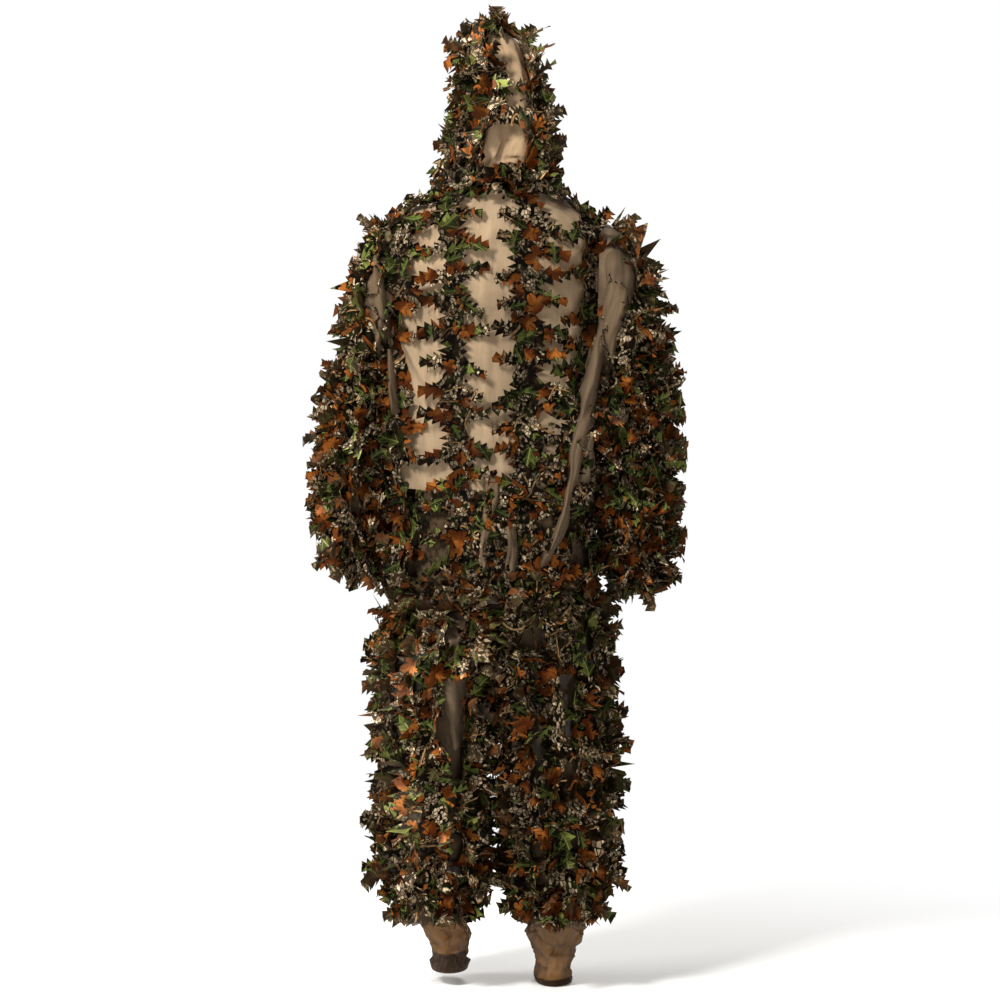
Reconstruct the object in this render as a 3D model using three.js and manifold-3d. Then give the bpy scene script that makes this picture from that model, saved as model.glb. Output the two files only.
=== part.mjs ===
// A two-piece leafy ghillie suit: a hooded sheer-mesh jacket with a front zip, over loose sheer-mesh
// trousers, with lobed camouflage leaf strips sewn along both. Millimetres, +Z up, the front faces -Y, the
// wearer's left is +X, and the origin is on the floor below the suit's centre.
import * as THREE from "three";
import { mergeVertices } from "three/addons/utils/BufferGeometryUtils.js";
import Module from "manifold-3d";

const wasm = await Module();
wasm.setup();

// ---------------------------------------------------------------- driving dimensions
const CLOTH = 2; // sheer mesh and its small folds, as one skin
const LEAF_CLOTH = 1.4; // printed leaf fabric
const SEAM = 0.8; // gap between two panels that are sewn edge to edge
const LEAF_PITCH = 78; // one pair of lobes on a strip
const LEAF_NARROW = 13; // half width of a strip between lobes
const SQUARE = 2.4; // superellipse exponent of the garment sections

// Jacket rings: height, half width, reach to the back, reach to the front.
const JACKET = [
  [735, 178, 122, 130],
  [800, 186, 127, 130],
  [930, 182, 122, 130],
  [1100, 186, 132, 130],
  [1220, 191, 140, 130],
  [1300, 194, 142, 130],
  [1350, 193, 138, 130],
  [1392, 196, 126, 119],
  [1430, 172, 108, 104],
  [1464, 112, 92, 90],
  [1480, 87, 80, 82],
];

// Collar rings, in the same order, and the hood's lower edge, which hangs outside the collar.
const COLLAR = [
  [1482, 84, 77, 79],
  [1528, 81, 76, 77],
];
const HOOD_FOOT = 1508;

// Hood rings: height, half width, reach to the back, reach to the front.
const HOOD = [
  [1500, 95, 97, 92],
  [1550, 97, 105, 96],
  [1620, 98, 112, 108],
  [1690, 92, 104, 116],
  [1730, 72, 86, 108],
  [1757, 40, 66, 96],
  [1768, 2, 50, 84],
];
const BROW = 1688; // top of the face opening

// Sleeve sections, each from an inner point to an outer point in the XZ plane: x, z, x, z, half depth,
// middle y.
const SLEEVE = [
  [205, 1190, 214, 1408, 80, 5],
  [206, 1172, 248, 1392, 80, 5],
  [206, 1134, 275, 1326, 75, 5],
  [206, 1085, 293, 1196, 66, 4],
  [206, 1046, 304, 1062, 60, 3],
];
const ELBOW = { z: 1048, deg: 68 };
// Forearm rings: height, middle x, half width, half depth, middle y.
const FOREARM = [
  [782, 256, 46, 46, -22],
  [830, 257, 52, 54, -19],
  [900, 257, 52, 56, -13],
  [980, 256, 51, 58, -5],
  [1048, 256, 50, 60, 3],
];

// Trouser rings above the legs: height, half width, reach to the back, reach to the front.
const SEAT = [
  [640, 198, 118, 114],
  [680, 188, 122, 118],
  [716, 169, 114, 117],
  [800, 167, 112, 116],
  [884, 162, 107, 113],
  [924, 160, 106, 112],
];
const WAISTBAND = 38;
const HIP = { z: 640, forward_deg: 37, back_deg: 14 };
const KNEE = { z: 430, deg: 52 };
// Leg rings: height, middle x, half width, half depth, middle y.
const LEG = [
  [118, 106, 66, 72, 6],
  [180, 111, 78, 84, 4],
  [300, 112, 85, 93, 2],
  [430, 111, 89, 100, 0],
  [560, 108, 91, 106, 0],
  [640, 101, 88, 108, 0],
];

// The two sides differ a little in how they hang.
const SIDES = [
  { name: "left", sign: 1, cuff: 782, footX: 86, footDrop: 24 },
  { name: "right", sign: -1, cuff: 752, footX: 110, footDrop: 0 },
];

// ---------------------------------------------------------------- materials
const mat = (color, roughness, metalness = 0) =>
  new THREE.MeshStandardMaterial({ color, roughness, metalness });
const meshCloth = mat(0xc6ab8a, 0.9);
const trimCloth = mat(0x8a7254, 0.85);
const leafCloth = mat(0x5a4a2c, 0.9);
const elastic = mat(0x4b3f30, 0.8);
const cordFibre = mat(0x3a3226, 0.8);
const plastic = mat(0x1d1c1a, 0.45);
const zipMetal = mat(0x6d6658, 0.4, 0.9);

// ---------------------------------------------------------------- small tools
const rad = THREE.MathUtils.degToRad;
const lerp = THREE.MathUtils.lerp;
const V = (x, y, z) => new THREE.Vector3(x, y, z);
const root = new THREE.Group();

function put(name, geometry, material) {
  const mesh = new THREE.Mesh(geometry, material);
  mesh.name = name;
  root.add(mesh);
}

// Smooth values between table rows [key, ...values], with the key rising.
function between(rows, key) {
  const last = rows.length - 1;
  const k = THREE.MathUtils.clamp(key, rows[0][0], rows[last][0]);
  let i = 0;
  while (i < last - 1 && k > rows[i + 1][0]) i++;
  const span = rows[i + 1][0] - rows[i][0];
  const t = (k - rows[i][0]) / span;
  const slope = (j, c) => {
    const a = rows[Math.max(j - 1, 0)];
    const b = rows[Math.min(j + 1, last)];
    return (b[c] - a[c]) / (b[0] - a[0]);
  };
  const rise = 3 * t ** 2 - 2 * t ** 3;
  const leave = (t ** 3 - 2 * t ** 2 + t) * span;
  const arrive = (t ** 3 - t ** 2) * span;
  return rows[0].slice(1).map((_, k0) => {
    const c = k0 + 1;
    const value = lerp(rows[i][c], rows[i + 1][c], rise);
    return value + leave * slope(i, c) + arrive * slope(i + 1, c);
  });
}

// A geometry's vertices and triangles as a solid that can be joined and cut.
function solid(geometry) {
  const bare = new THREE.BufferGeometry();
  bare.setAttribute("position", geometry.getAttribute("position"));
  bare.setIndex(geometry.index);
  const g = mergeVertices(bare, 1e-3);
  return new wasm.Manifold(
    new wasm.Mesh({
      numProp: 3,
      vertProperties: new Float32Array(g.attributes.position.array),
      triVerts: new Uint32Array(g.index.array),
    }),
  );
}

function geometryOf(manifold) {
  const m = manifold.getMesh();
  const g = new THREE.BufferGeometry();
  g.setAttribute("position", new THREE.BufferAttribute(m.vertProperties, m.numProp));
  g.setIndex(new THREE.BufferAttribute(m.triVerts, 1));
  g.computeVertexNormals();
  return g;
}

const join = (list) => geometryOf(list.map(solid).reduce((a, b) => a.add(b)));
const cut = (body, ...tools) => geometryOf(tools.map(solid).reduce((a, b) => a.subtract(b), solid(body)));

const mirrored = (geometry) => geometryOf(solid(geometry).mirror([1, 0, 0]));

// A skin of the given thickness. middle(s, t) is its middle surface for s and t from 0 to 1, with s x t
// facing out. closed joins s = 1 to s = 0, which makes a tube open at both ends.
function skin(middle, across, along, thickness, closed = false) {
  const columns = closed ? across : across + 1;
  const rows = along + 1;
  const step = 1e-3;
  const points = [];
  for (const side of [0.5, -0.5]) {
    for (let j = 0; j < rows; j++) {
      for (let i = 0; i < columns; i++) {
        const s = i / across;
        const t = j / along;
        const s0 = closed ? s - step : Math.max(s - step, 0);
        const s1 = closed ? s + step : Math.min(s + step, 1);
        const ds = middle(s1, t).sub(middle(s0, t));
        const dt = middle(s, Math.min(t + step, 1)).sub(middle(s, Math.max(t - step, 0)));
        const n = ds.cross(dt).normalize().multiplyScalar(side * thickness);
        points.push(...middle(s, t).add(n).toArray());
      }
    }
  }
  const at = (layer, i, j) => layer * rows * columns + j * columns + (i % columns);
  const faces = [];
  const quad = (a, b, c, d) => faces.push(a, b, c, a, c, d);
  for (let j = 0; j < along; j++) {
    for (let i = 0; i < across; i++) {
      quad(at(0, i, j), at(0, i + 1, j), at(0, i + 1, j + 1), at(0, i, j + 1));
      quad(at(1, i, j + 1), at(1, i + 1, j + 1), at(1, i + 1, j), at(1, i, j));
    }
  }
  for (let i = 0; i < across; i++) {
    quad(at(1, i, 0), at(1, i + 1, 0), at(0, i + 1, 0), at(0, i, 0));
    quad(at(0, i, along), at(0, i + 1, along), at(1, i + 1, along), at(1, i, along));
  }
  if (!closed) {
    for (let j = 0; j < along; j++) {
      quad(at(0, 0, j), at(0, 0, j + 1), at(1, 0, j + 1), at(1, 0, j));
      quad(at(1, across, j), at(1, across, j + 1), at(0, across, j + 1), at(0, across, j));
    }
  }
  const g = new THREE.BufferGeometry();
  g.setAttribute("position", new THREE.BufferAttribute(new Float32Array(points), 3));
  g.setIndex(faces);
  g.computeVertexNormals();
  return g;
}

// One point of a superellipse ring: u runs from +X towards +Y, the back.
function ringPoint(u, z, half, back, front) {
  const c = Math.cos(u);
  const s = Math.sin(u);
  const reach = (back + front) / 2;
  const x = half * Math.sign(c) * Math.abs(c) ** (2 / SQUARE);
  const y = (back - front) / 2 + reach * Math.sign(s) * Math.abs(s) ** (2 / SQUARE);
  return V(x, y, z);
}

const jacketPoint = (u, z, out = 0) => {
  const [half, back, front] = between(JACKET, z);
  return ringPoint(u, z, half + out, back + out, front + out);
};
const hoodPoint = (u, z, out = 0) => {
  const [half, back, front] = between(HOOD, z);
  return ringPoint(u, z, half + out, back + out, front + out);
};
const seatPoint = (u, z, out = 0) => {
  const [half, back, front] = between(SEAT, z);
  return ringPoint(u, z, half + out, back + out, front + out);
};
const tubePoint = (rows) => (u, z, out = 0) => {
  const [x, half, deep, y] = between(rows, z);
  return V(x + (half + out) * Math.cos(u), y + (deep + out) * Math.sin(u), z);
};

// A lobed strip that lies against a surface. line(t) gives {at, side, out}: a point, the direction across
// the strip and the direction away from the surface. Lobes come in pairs, and their tips lean outwards.
function leafStrip(line, length, wide, gap = 4, lean = 0.3) {
  const lobes = Math.max(2, Math.round(length / LEAF_PITCH));
  const steps = 2 * lobes;
  const middle = (s, t) => {
    const k = t * steps;
    const tip = 1 - Math.abs((k % 2) - 1);
    const half = lerp(LEAF_NARROW, wide, tip);
    const across = 2 * s - 1;
    const { at, side, out } = line(t);
    return at
      .clone()
      .addScaledVector(side, across * half)
      .addScaledVector(out, gap + lean * Math.abs(across) * half);
  };
  return skin(middle, 2, steps, LEAF_CLOTH);
}

// The line of a strip that keeps one angle u on a surface point(u, z) between two heights.
function lineAtAngle(point, u, low, high) {
  return (t) => {
    const z = lerp(low, high, t);
    const at = point(u, z);
    const side = point(u + 0.01, z).sub(point(u - 0.01, z)).normalize();
    const up = point(u, z + 1).sub(point(u, z - 1));
    return { at, side, out: side.clone().cross(up).normalize() };
  };
}

// The line of a strip that keeps one x on the jacket's back or front between two heights.
function lineAtX(x, low, high, sense) {
  const angle = (z) => {
    const half = between(JACKET, z)[0];
    const c = Math.sign(x) * Math.min(Math.abs(x) / half, 0.98) ** (SQUARE / 2);
    return sense * Math.acos(c);
  };
  return (t) => {
    const z = lerp(low, high, t);
    const u = angle(z);
    const at = jacketPoint(u, z);
    const side = jacketPoint(u + 0.02, z).sub(jacketPoint(u - 0.02, z)).normalize();
    const up = jacketPoint(angle(z + 2), z + 2).sub(jacketPoint(angle(z - 2), z - 2));
    return { at, side, out: side.clone().cross(up).normalize() };
  };
}

const box = (w, d, h, x, y, z) => new THREE.BoxGeometry(w, d, h).translate(x, y, z);
const rod = (r, length, axis, x, y, z, sides = 12) => {
  const g = new THREE.CylinderGeometry(r, r, length, sides);
  if (axis === "x") g.rotateZ(Math.PI / 2);
  if (axis === "z") g.rotateX(Math.PI / 2);
  return g.translate(x, y, z);
};

// A round cord along points.
function cord(points, radius, steps, closed = false) {
  const path = new THREE.CatmullRomCurve3(points, closed, "catmullrom", 0.5);
  const section = new THREE.Shape();
  section.absarc(0, 0, radius, 0, 2 * Math.PI);
  return new THREE.ExtrudeGeometry(section, { steps, extrudePath: path, curveSegments: 3 });
}

// ---------------------------------------------------------------- jacket body
const ringHeights = JACKET.map((row) => row[0]);
const jacketHeight = (t) => {
  const k = t * (ringHeights.length - 1);
  const i = Math.min(Math.floor(k), ringHeights.length - 2);
  return lerp(ringHeights[i], ringHeights[i + 1], k - i);
};
const jacketPanel = (from, to, across) =>
  skin((s, t) => jacketPoint(lerp(from, to, s), jacketHeight(t)), across, ringHeights.length - 1, CLOTH);

const sideGap = 0.003;
const zipGap = 0.024;
const armhole = (sign) => rod(80, 90, "x", sign * 200, 5, 1285, 18).scale(1, 0.9, 1);
const [holeLeft, holeRight] = [armhole(1), armhole(-1)];
put("jacket_back_panel", cut(jacketPanel(sideGap, Math.PI - sideGap, 14), holeLeft, holeRight), meshCloth);
put("jacket_front_left", cut(jacketPanel(-Math.PI / 2 + zipGap, -sideGap, 7), holeLeft), meshCloth);
const frontRight = jacketPanel(Math.PI + sideGap, 1.5 * Math.PI - zipGap, 7);
put("jacket_front_right", cut(frontRight, holeRight), meshCloth);

const HEM = JACKET[0][0];
const hemRing = (s, t) => jacketPoint(2 * Math.PI * s, HEM).setZ(HEM - 17 + 16 * t);
put("jacket_hem_elastic", skin(hemRing, 24, 1, 4, true), elastic);

const collarRing = (s, t) => {
  const z = lerp(COLLAR[0][0], COLLAR[1][0], t);
  return ringPoint(2 * Math.PI * s, z, ...between(COLLAR, z));
};
put("hood_collar", skin(collarRing, 22, 2, CLOTH, true), meshCloth);

// ---------------------------------------------------------------- front zip
const FRONT = 130; // the front runs straight and upright behind the zip
const ZIP_LOW = 742;
const ZIP_TOP = 1352;
const zipHeight = ZIP_TOP - ZIP_LOW;
const zipMiddle = (ZIP_TOP + ZIP_LOW) / 2;
for (const sign of [1, -1]) {
  const name = sign > 0 ? "zip_tape_left" : "zip_tape_right";
  put(name, box(16, 0.8, zipHeight, sign * 11.6, -FRONT - 2.2, zipMiddle), trimCloth);
}
put("zip_chain", box(6, 2.4, zipHeight, 0, -FRONT - 2.6, zipMiddle), zipMetal);

const SLIDER_Z = 1338;
const sliderY = -FRONT - 5.4;
const sliderBody = cut(
  box(11, 4.8, 14, 0, sliderY, SLIDER_Z),
  box(7, 4, 20, 0, -FRONT - 2.4, SLIDER_Z),
);
const lugY = sliderY - 5.2;
const PULL_PIVOT = { y: lugY, z: SLIDER_Z - 1 };
const sliderParts = [
  sliderBody,
  box(1.6, 7, 5, -3.2, lugY + 1.5, PULL_PIVOT.z),
  box(1.6, 7, 5, 3.2, lugY + 1.5, PULL_PIVOT.z),
  rod(0.8, 6.4, "x", 0, lugY, PULL_PIVOT.z),
];
put("zip_slider", join(sliderParts), zipMetal);
const pull = cut(
  join([box(4, 1.8, 26, 0, lugY, PULL_PIVOT.z - 11), rod(2.4, 4, "x", 0, lugY, PULL_PIVOT.z)]),
  rod(1.15, 8, "x", 0, lugY, PULL_PIVOT.z),
  rod(1.3, 8, "y", 0, lugY, PULL_PIVOT.z - 20),
);
put("zip_pull", pull, zipMetal);

// ---------------------------------------------------------------- hang loop at the back of the neck
const LOOP = { wide: 42, high: 26, strap: 8, thick: 2, tilt: 29 };
const hangLoop = cut(
  box(LOOP.wide, LOOP.strap, LOOP.high, 0, 0, 0),
  box(LOOP.wide - 2 * LOOP.thick, 3 * LOOP.strap, LOOP.high - 2 * LOOP.thick, 0, 0, 0),
);
put("hang_loop", hangLoop.rotateX(rad(LOOP.tilt)).translate(0, 103, 1461), trimCloth);

// ---------------------------------------------------------------- jacket leaf strips
const BACK_STRIPS = [
  { x: 156, low: 745, high: 1385, wide: 30 },
  { x: 70, low: 745, high: 1440, wide: 40 },
  { x: -50, low: 745, high: 1440, wide: 42 },
  { x: -150, low: 745, high: 1385, wide: 34 },
];
const FRONT_STRIPS = [
  { x: 152, low: 745, high: 1375, wide: 30 },
  { x: 78, low: 745, high: 1400, wide: 38 },
  { x: -78, low: 745, high: 1400, wide: 38 },
  { x: -152, low: 745, high: 1375, wide: 30 },
];
BACK_STRIPS.forEach(({ x, low, high, wide }, i) => {
  put(`back_leaf_strip_${i + 1}`, leafStrip(lineAtX(x, low, high, 1), high - low, wide), leafCloth);
});
FRONT_STRIPS.forEach(({ x, low, high, wide }, i) => {
  put(`front_leaf_strip_${i + 1}`, leafStrip(lineAtX(x, low, high, -1), high - low, wide), leafCloth);
});

// ---------------------------------------------------------------- hood
const hoodHeights = [HOOD_FOOT, 1560, 1630, 1690, 1725, 1748, 1768];
const faceAngle = (z) => {
  const closing = THREE.MathUtils.smoothstep(z, BROW, BROW + 40);
  return lerp(rad(-44), rad(-90), closing);
};
function hoodPanel() {
  const middle = (s, t) => {
    const k = t * (hoodHeights.length - 1);
    const i = Math.min(Math.floor(k), hoodHeights.length - 2);
    const z = lerp(hoodHeights[i], hoodHeights[i + 1], k - i);
    return hoodPoint(lerp(faceAngle(z), Math.PI / 2, s), z).add(V(0.9, 0, 0));
  };
  return skin(middle, 9, hoodHeights.length - 1, CLOTH);
}
put("hood_left_panel", hoodPanel(), meshCloth);
put("hood_right_panel", mirrored(hoodPanel()), meshCloth);

// The bound edge of the face opening, from the left lower corner over the brow to the right.
const faceEdge = (out, lowest) => {
  const side = [];
  for (let z = lowest; z < BROW - 20; z += 32) side.push(hoodPoint(faceAngle(z) - 0.06, z, out));
  side.push(hoodPoint(rad(-58), BROW + 4, out), hoodPoint(rad(-76), BROW + 15, out));
  const other = side.map((p) => V(-p.x, p.y, p.z)).reverse();
  return [...side, hoodPoint(rad(-90), BROW + 18, out), ...other];
};
put("hood_face_binding", cord(faceEdge(-1, 1566), 3.2, 30), trimCloth);

const CORD_X = 50;
const CORD_Y = -155;
const CORD_END = 1372;
const cordFoot = V(70, -98, 1545);
const tailPath = [
  V(CORD_X, CORD_Y, CORD_END),
  V(CORD_X, CORD_Y, 1430),
  V(CORD_X + 1, CORD_Y + 2, 1480),
  V(61, -124, 1518),
  V(69, -101, 1541),
];
const tail = cord(tailPath, 1.5, 20);
put("hood_drawcord", cord([cordFoot, ...faceEdge(8, 1566), V(-70, -98, 1545)], 1.5, 44), cordFibre);
put("hood_cord_tail_left", tail, cordFibre);
put("hood_cord_tail_right", mirrored(tail), cordFibre);

const HOOD_STRIPS = [58, 116, 10].map(rad);
HOOD_STRIPS.forEach((u, i) => {
  const low = HOOD_FOOT + 12;
  const line = lineAtAngle(hoodPoint, u, low, 1728);
  put(`hood_leaf_strip_${i + 1}`, leafStrip(line, 1728 - low, 28, 4.5, 0.4), leafCloth);
});

// ---------------------------------------------------------------- cord locks
// A spring toggle: the cord runs down through the body, and through a slot in the plunger that is pressed
// in from the side the sense points to.
const LOCK = { wide: 15, deep: 11, high: 15, plunger: 3.6, travel: 3 };
function cordLock(x, y, z, sense, name) {
  const reach = sense * (LOCK.wide / 2 + 4);
  const body = cut(
    box(LOCK.wide, LOCK.deep, LOCK.high, x, y, z),
    rod(LOCK.plunger + 0.4, LOCK.wide + 2, "x", x + sense * 3.6, y, z),
    rod(2.1, 30, "z", x, y, z),
  );
  const plunger = cut(
    rod(LOCK.plunger, LOCK.wide + 1.5, "x", x + (reach * 1.2) / 2, y, z, 14),
    box(2 * (2.1 + LOCK.travel), 4.2, 30, x + sense * 1.4, y, z),
  );
  const head = rod(4.6, 3, "x", x + sense * (LOCK.wide / 2 + 6.2), y, z, 14);
  put(name, body, plastic);
  put(`${name}_button`, join([plunger, head]), plastic);
}
cordLock(CORD_X, CORD_Y, 1400, 1, "hood_cord_lock_left");
cordLock(-CORD_X, CORD_Y, 1400, -1, "hood_cord_lock_right");

// ---------------------------------------------------------------- sleeves
function sleevePoint(u, k, out = 0) {
  const rows = SLEEVE.map((row, i) => [i, ...row]);
  const [ix, iz, ox, oz, deep, y] = between(rows, k);
  const middle = V((ix + ox) / 2, y, (iz + oz) / 2);
  const outward = V((ox - ix) / 2, 0, (oz - iz) / 2);
  const reach = outward.length();
  outward.multiplyScalar((reach + out) / reach);
  return middle.addScaledVector(outward, Math.cos(u)).add(V(0, (deep + out) * Math.sin(u), 0));
}
const sleeveEnd = SLEEVE.length - 1;
const elbowRise = (u, out) => Math.max(0, -Math.sin(u)) * (60 + out) * Math.tan(rad(ELBOW.deg / 2));
// t runs from the elbow up to the armhole.
function upperSleeveMiddle(u, t, out = 0, margin = 0) {
  const low = sleeveEnd - (elbowRise(u, out) + margin) / 68;
  return sleevePoint(u, lerp(low, 0, t), out);
}

function limbLeaves(strips, band) {
  return join([band, ...strips]);
}

function upperSleeveLeaves() {
  const lineAt = (u) => (t) => {
    const place = (v, w) => sleevePoint(v, lerp(sleeveEnd - (elbowRise(v, 30) + 12) / 68, 0.25, w));
    const w = THREE.MathUtils.clamp(t, 0.01, 0.99);
    const side = place(u + 0.02, w).sub(place(u - 0.02, w)).normalize();
    const up = place(u, w + 0.01).sub(place(u, w - 0.01));
    return { at: place(u, t), side, out: side.clone().cross(up).normalize() };
  };
  const strips = [-72, -24, 24, 72].map((deg) => leafStrip(lineAt(rad(deg)), 240, 34, 4.2, 0.35));
  const bandMiddle = (s, t) => sleevePoint(lerp(rad(-88), rad(88), s), lerp(0.62, 0.42, t), 4.2);
  return limbLeaves(strips, skin(bandMiddle, 10, 1, LEAF_CLOTH));
}

function forearmParts(side) {
  const point = tubePoint(FOREARM.map((row, i) => (i === 0 ? [side.cuff, ...row.slice(1)] : row)));
  const top = (u, out = 0) => ELBOW.z - 4 - elbowRise(u, out);
  const tube = skin((s, t) => {
    const u = 2 * Math.PI * s;
    return point(u, lerp(side.cuff, top(u), t));
  }, 18, 4, CLOTH, true);
  const strips = [-72, -24, 24, 72].map((deg) => {
    const u = rad(deg);
    const low = side.cuff + 6;
    const high = top(u, 30) - 12;
    return leafStrip(lineAtAngle(point, u, low, high), high - low, 34, 4.2, 0.35);
  });
  const bandMiddle = (s, t) => {
    const u = lerp(rad(-88), rad(88), s);
    return point(u, 940 + 14 * t, 4.2);
  };
  const cuffMiddle = (s, t) => point(2 * Math.PI * s, side.cuff, -1).setZ(side.cuff - 17 + 16 * t);
  return {
    tube,
    leaves: limbLeaves(strips, skin(bandMiddle, 10, 1, LEAF_CLOTH)),
    cuff: skin(cuffMiddle, 18, 1, 3.4, true),
  };
}

// ---------------------------------------------------------------- legs
const frontSlope = (y, deg) => Math.max(0, -y) * Math.tan(rad(deg));
const backSlope = (y, deg) => Math.max(0, y) * Math.tan(rad(deg));
const legPoint = tubePoint(LEG);
const hipRim = (y) => HIP.z - 6 - frontSlope(y, HIP.forward_deg) - backSlope(y, HIP.back_deg);
const kneeAbove = (y) => KNEE.z + 4 + backSlope(y, KNEE.deg / 2);
const kneeBelow = (y) => KNEE.z - 4 - backSlope(y, KNEE.deg / 2);
const legY = (u, z) => legPoint(u, z).y;

function legTube(low, high, along) {
  const middle = (s, t) => {
    const u = 2 * Math.PI * s;
    return legPoint(u, lerp(low(u), high(u), t));
  };
  return skin(middle, 20, along, CLOTH, true);
}

function legLeaves(low, high, bandZ) {
  const strips = [-112, -56, 0, 56, 112].map((deg) => {
    const u = rad(deg);
    const [a, b] = [low(u), high(u)];
    return leafStrip(lineAtAngle(legPoint, u, a, b), b - a, 36, 4.2, 0.35);
  });
  const bandMiddle = (s, t) => legPoint(lerp(rad(-125), rad(125), s), bandZ + 14 * t, 4.4);
  return limbLeaves(strips, skin(bandMiddle, 14, 1, LEAF_CLOTH));
}

// The sheer end of a trouser leg, which covers the boot: a cup that runs from the ankle to a flat sole.
const FOOT_TOP = 132;
function legEnd(side) {
  const shape = (shrink, floor, top) => {
    const rows = [
      [0, 34, 52, -42],
      [12, 42, 66, -44],
      [45, 46, 72, -40],
      [85, 46, 56, -14],
      [FOOT_TOP, 50, 54, 4],
    ];
    const section = (z) => between(rows, z);
    const rings = 8;
    const sides = 18;
    const points = [V(side.footX, section(floor)[2], floor)];
    for (let j = 0; j <= rings; j++) {
      const z = lerp(floor, top, j / rings);
      const [half, deep, y] = section(Math.min(z, FOOT_TOP));
      for (let i = 0; i < sides; i++) {
        const u = (2 * Math.PI * i) / sides;
        const lean = ((106 - side.footX) * Math.max(0, z - 40)) / 140;
        const x = side.footX + lean + (half - shrink) * Math.cos(u);
        points.push(V(x, y + (deep - shrink) * Math.sin(u), z));
      }
    }
    const topLean = ((106 - side.footX) * Math.max(0, top - 40)) / 140;
    points.push(V(side.footX + topLean, section(FOOT_TOP)[2], top));
    const faces = [];
    const at = (i, j) => 1 + j * sides + (i % sides);
    for (let i = 0; i < sides; i++) {
      faces.push(0, at(i + 1, 0), at(i, 0));
      faces.push(points.length - 1, at(i, rings), at(i + 1, rings));
      for (let j = 0; j < rings; j++) {
        faces.push(at(i, j), at(i + 1, j), at(i + 1, j + 1), at(i, j), at(i + 1, j + 1), at(i, j + 1));
      }
    }
    const g = new THREE.BufferGeometry();
    const places = new Float32Array(points.flatMap((p) => p.toArray()));
    g.setAttribute("position", new THREE.BufferAttribute(places, 3));
    g.setIndex(faces);
    return g;
  };
  const cup = cut(shape(0, 0, FOOT_TOP - side.footDrop), shape(CLOTH, CLOTH, FOOT_TOP + 12));
  return cup.translate(0, 0, side.footDrop);
}

// ---------------------------------------------------------------- both sides
for (const side of SIDES) {
  const place = (name, geometry, material) =>
    put(`${side.name}_${name}`, side.sign > 0 ? geometry : mirrored(geometry), material);
  const upper = skin((s, t) => upperSleeveMiddle(2 * Math.PI * s, t), 18, 5, CLOTH, true);
  const forearm = forearmParts(side);
  place("upper_sleeve", upper, meshCloth);
  place("upper_sleeve_leaves", upperSleeveLeaves(), leafCloth);
  place("forearm_sleeve", forearm.tube, meshCloth);
  place("forearm_sleeve_leaves", forearm.leaves, leafCloth);
  place("cuff_elastic", forearm.cuff, elastic);

  const thigh = legTube((u) => kneeAbove(legY(u, 440)), (u) => hipRim(legY(u, 600)), 4);
  const shin = legTube(() => 148, (u) => kneeBelow(legY(u, 420)), 4);
  const thighLeaves = legLeaves(
    (u) => kneeAbove(legY(u, 440) * 1.3) + 8,
    (u) => hipRim(legY(u, 600) * 1.3) - 8,
    512,
  );
  const shinLeaves = legLeaves(() => 150, (u) => kneeBelow(legY(u, 420) * 1.3) - 8, 330);
  place("thigh_leg", thigh, meshCloth);
  place("thigh_leaves", thighLeaves, leafCloth);
  place("shin_leg", shin, meshCloth);
  place("shin_leaves", shinLeaves, leafCloth);
  const ankle = (s, t) => legPoint(2 * Math.PI * s, 148, -2).setZ(134 + 12 * t);
  place("ankle_elastic", skin(ankle, 18, 1, 3.4, true), elastic);
  place("leg_end", legEnd(side), meshCloth);
}

// ---------------------------------------------------------------- trouser seat, waistband and drawcord
const seatHeights = [640, 672, 700, 722, 800, 884];
function seatPanel() {
  const middle = (s, t) => {
    const k = t * (seatHeights.length - 1);
    const i = Math.min(Math.floor(k), seatHeights.length - 2);
    const z = lerp(seatHeights[i], seatHeights[i + 1], k - i);
    return seatPoint(lerp(-Math.PI / 2 + 0.004, Math.PI / 2 - 0.004, s), z).add(V(SEAM, 0, 0));
  };
  return skin(middle, 12, seatHeights.length - 1, CLOTH);
}
put("trousers_seat_left", seatPanel(), meshCloth);
put("trousers_seat_right", mirrored(seatPanel()), meshCloth);
const bandRing = (s, t) => seatPoint(2 * Math.PI * s, 884).setZ(886 + WAISTBAND * t);
const EYELET_Z = 905;
const WAIST_CORD_Y = -122.7; // midway between the trousers' front and the jacket's
const waistband = cut(skin(bandRing, 24, 1, 4, true), rod(4.5, 30, "y", 0, -113, EYELET_Z));
put("waistband_elastic", waistband, elastic);

const insideBand = (deg) => seatPoint(rad(deg), 884, -6).setZ(EYELET_Z);
const waistCord = [];
for (let deg = -60; deg <= 240; deg += 25) waistCord.push(insideBand(deg));
waistCord.push(V(-26, -104, EYELET_Z), V(-6, -105, EYELET_Z), V(0, -112, EYELET_Z));
waistCord.push(V(0, -118, EYELET_Z - 1), V(0, -123, 896), V(0, WAIST_CORD_Y, 880), V(0, WAIST_CORD_Y, 815));
put("waist_drawcord", cord(waistCord, 1.5, 64), cordFibre);
cordLock(0, WAIST_CORD_Y, 850, 1, "waist_cord_lock");

export default root;
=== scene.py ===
import math

import bpy
import numpy as np
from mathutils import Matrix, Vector
from mathutils.bvhtree import BVHTree


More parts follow.
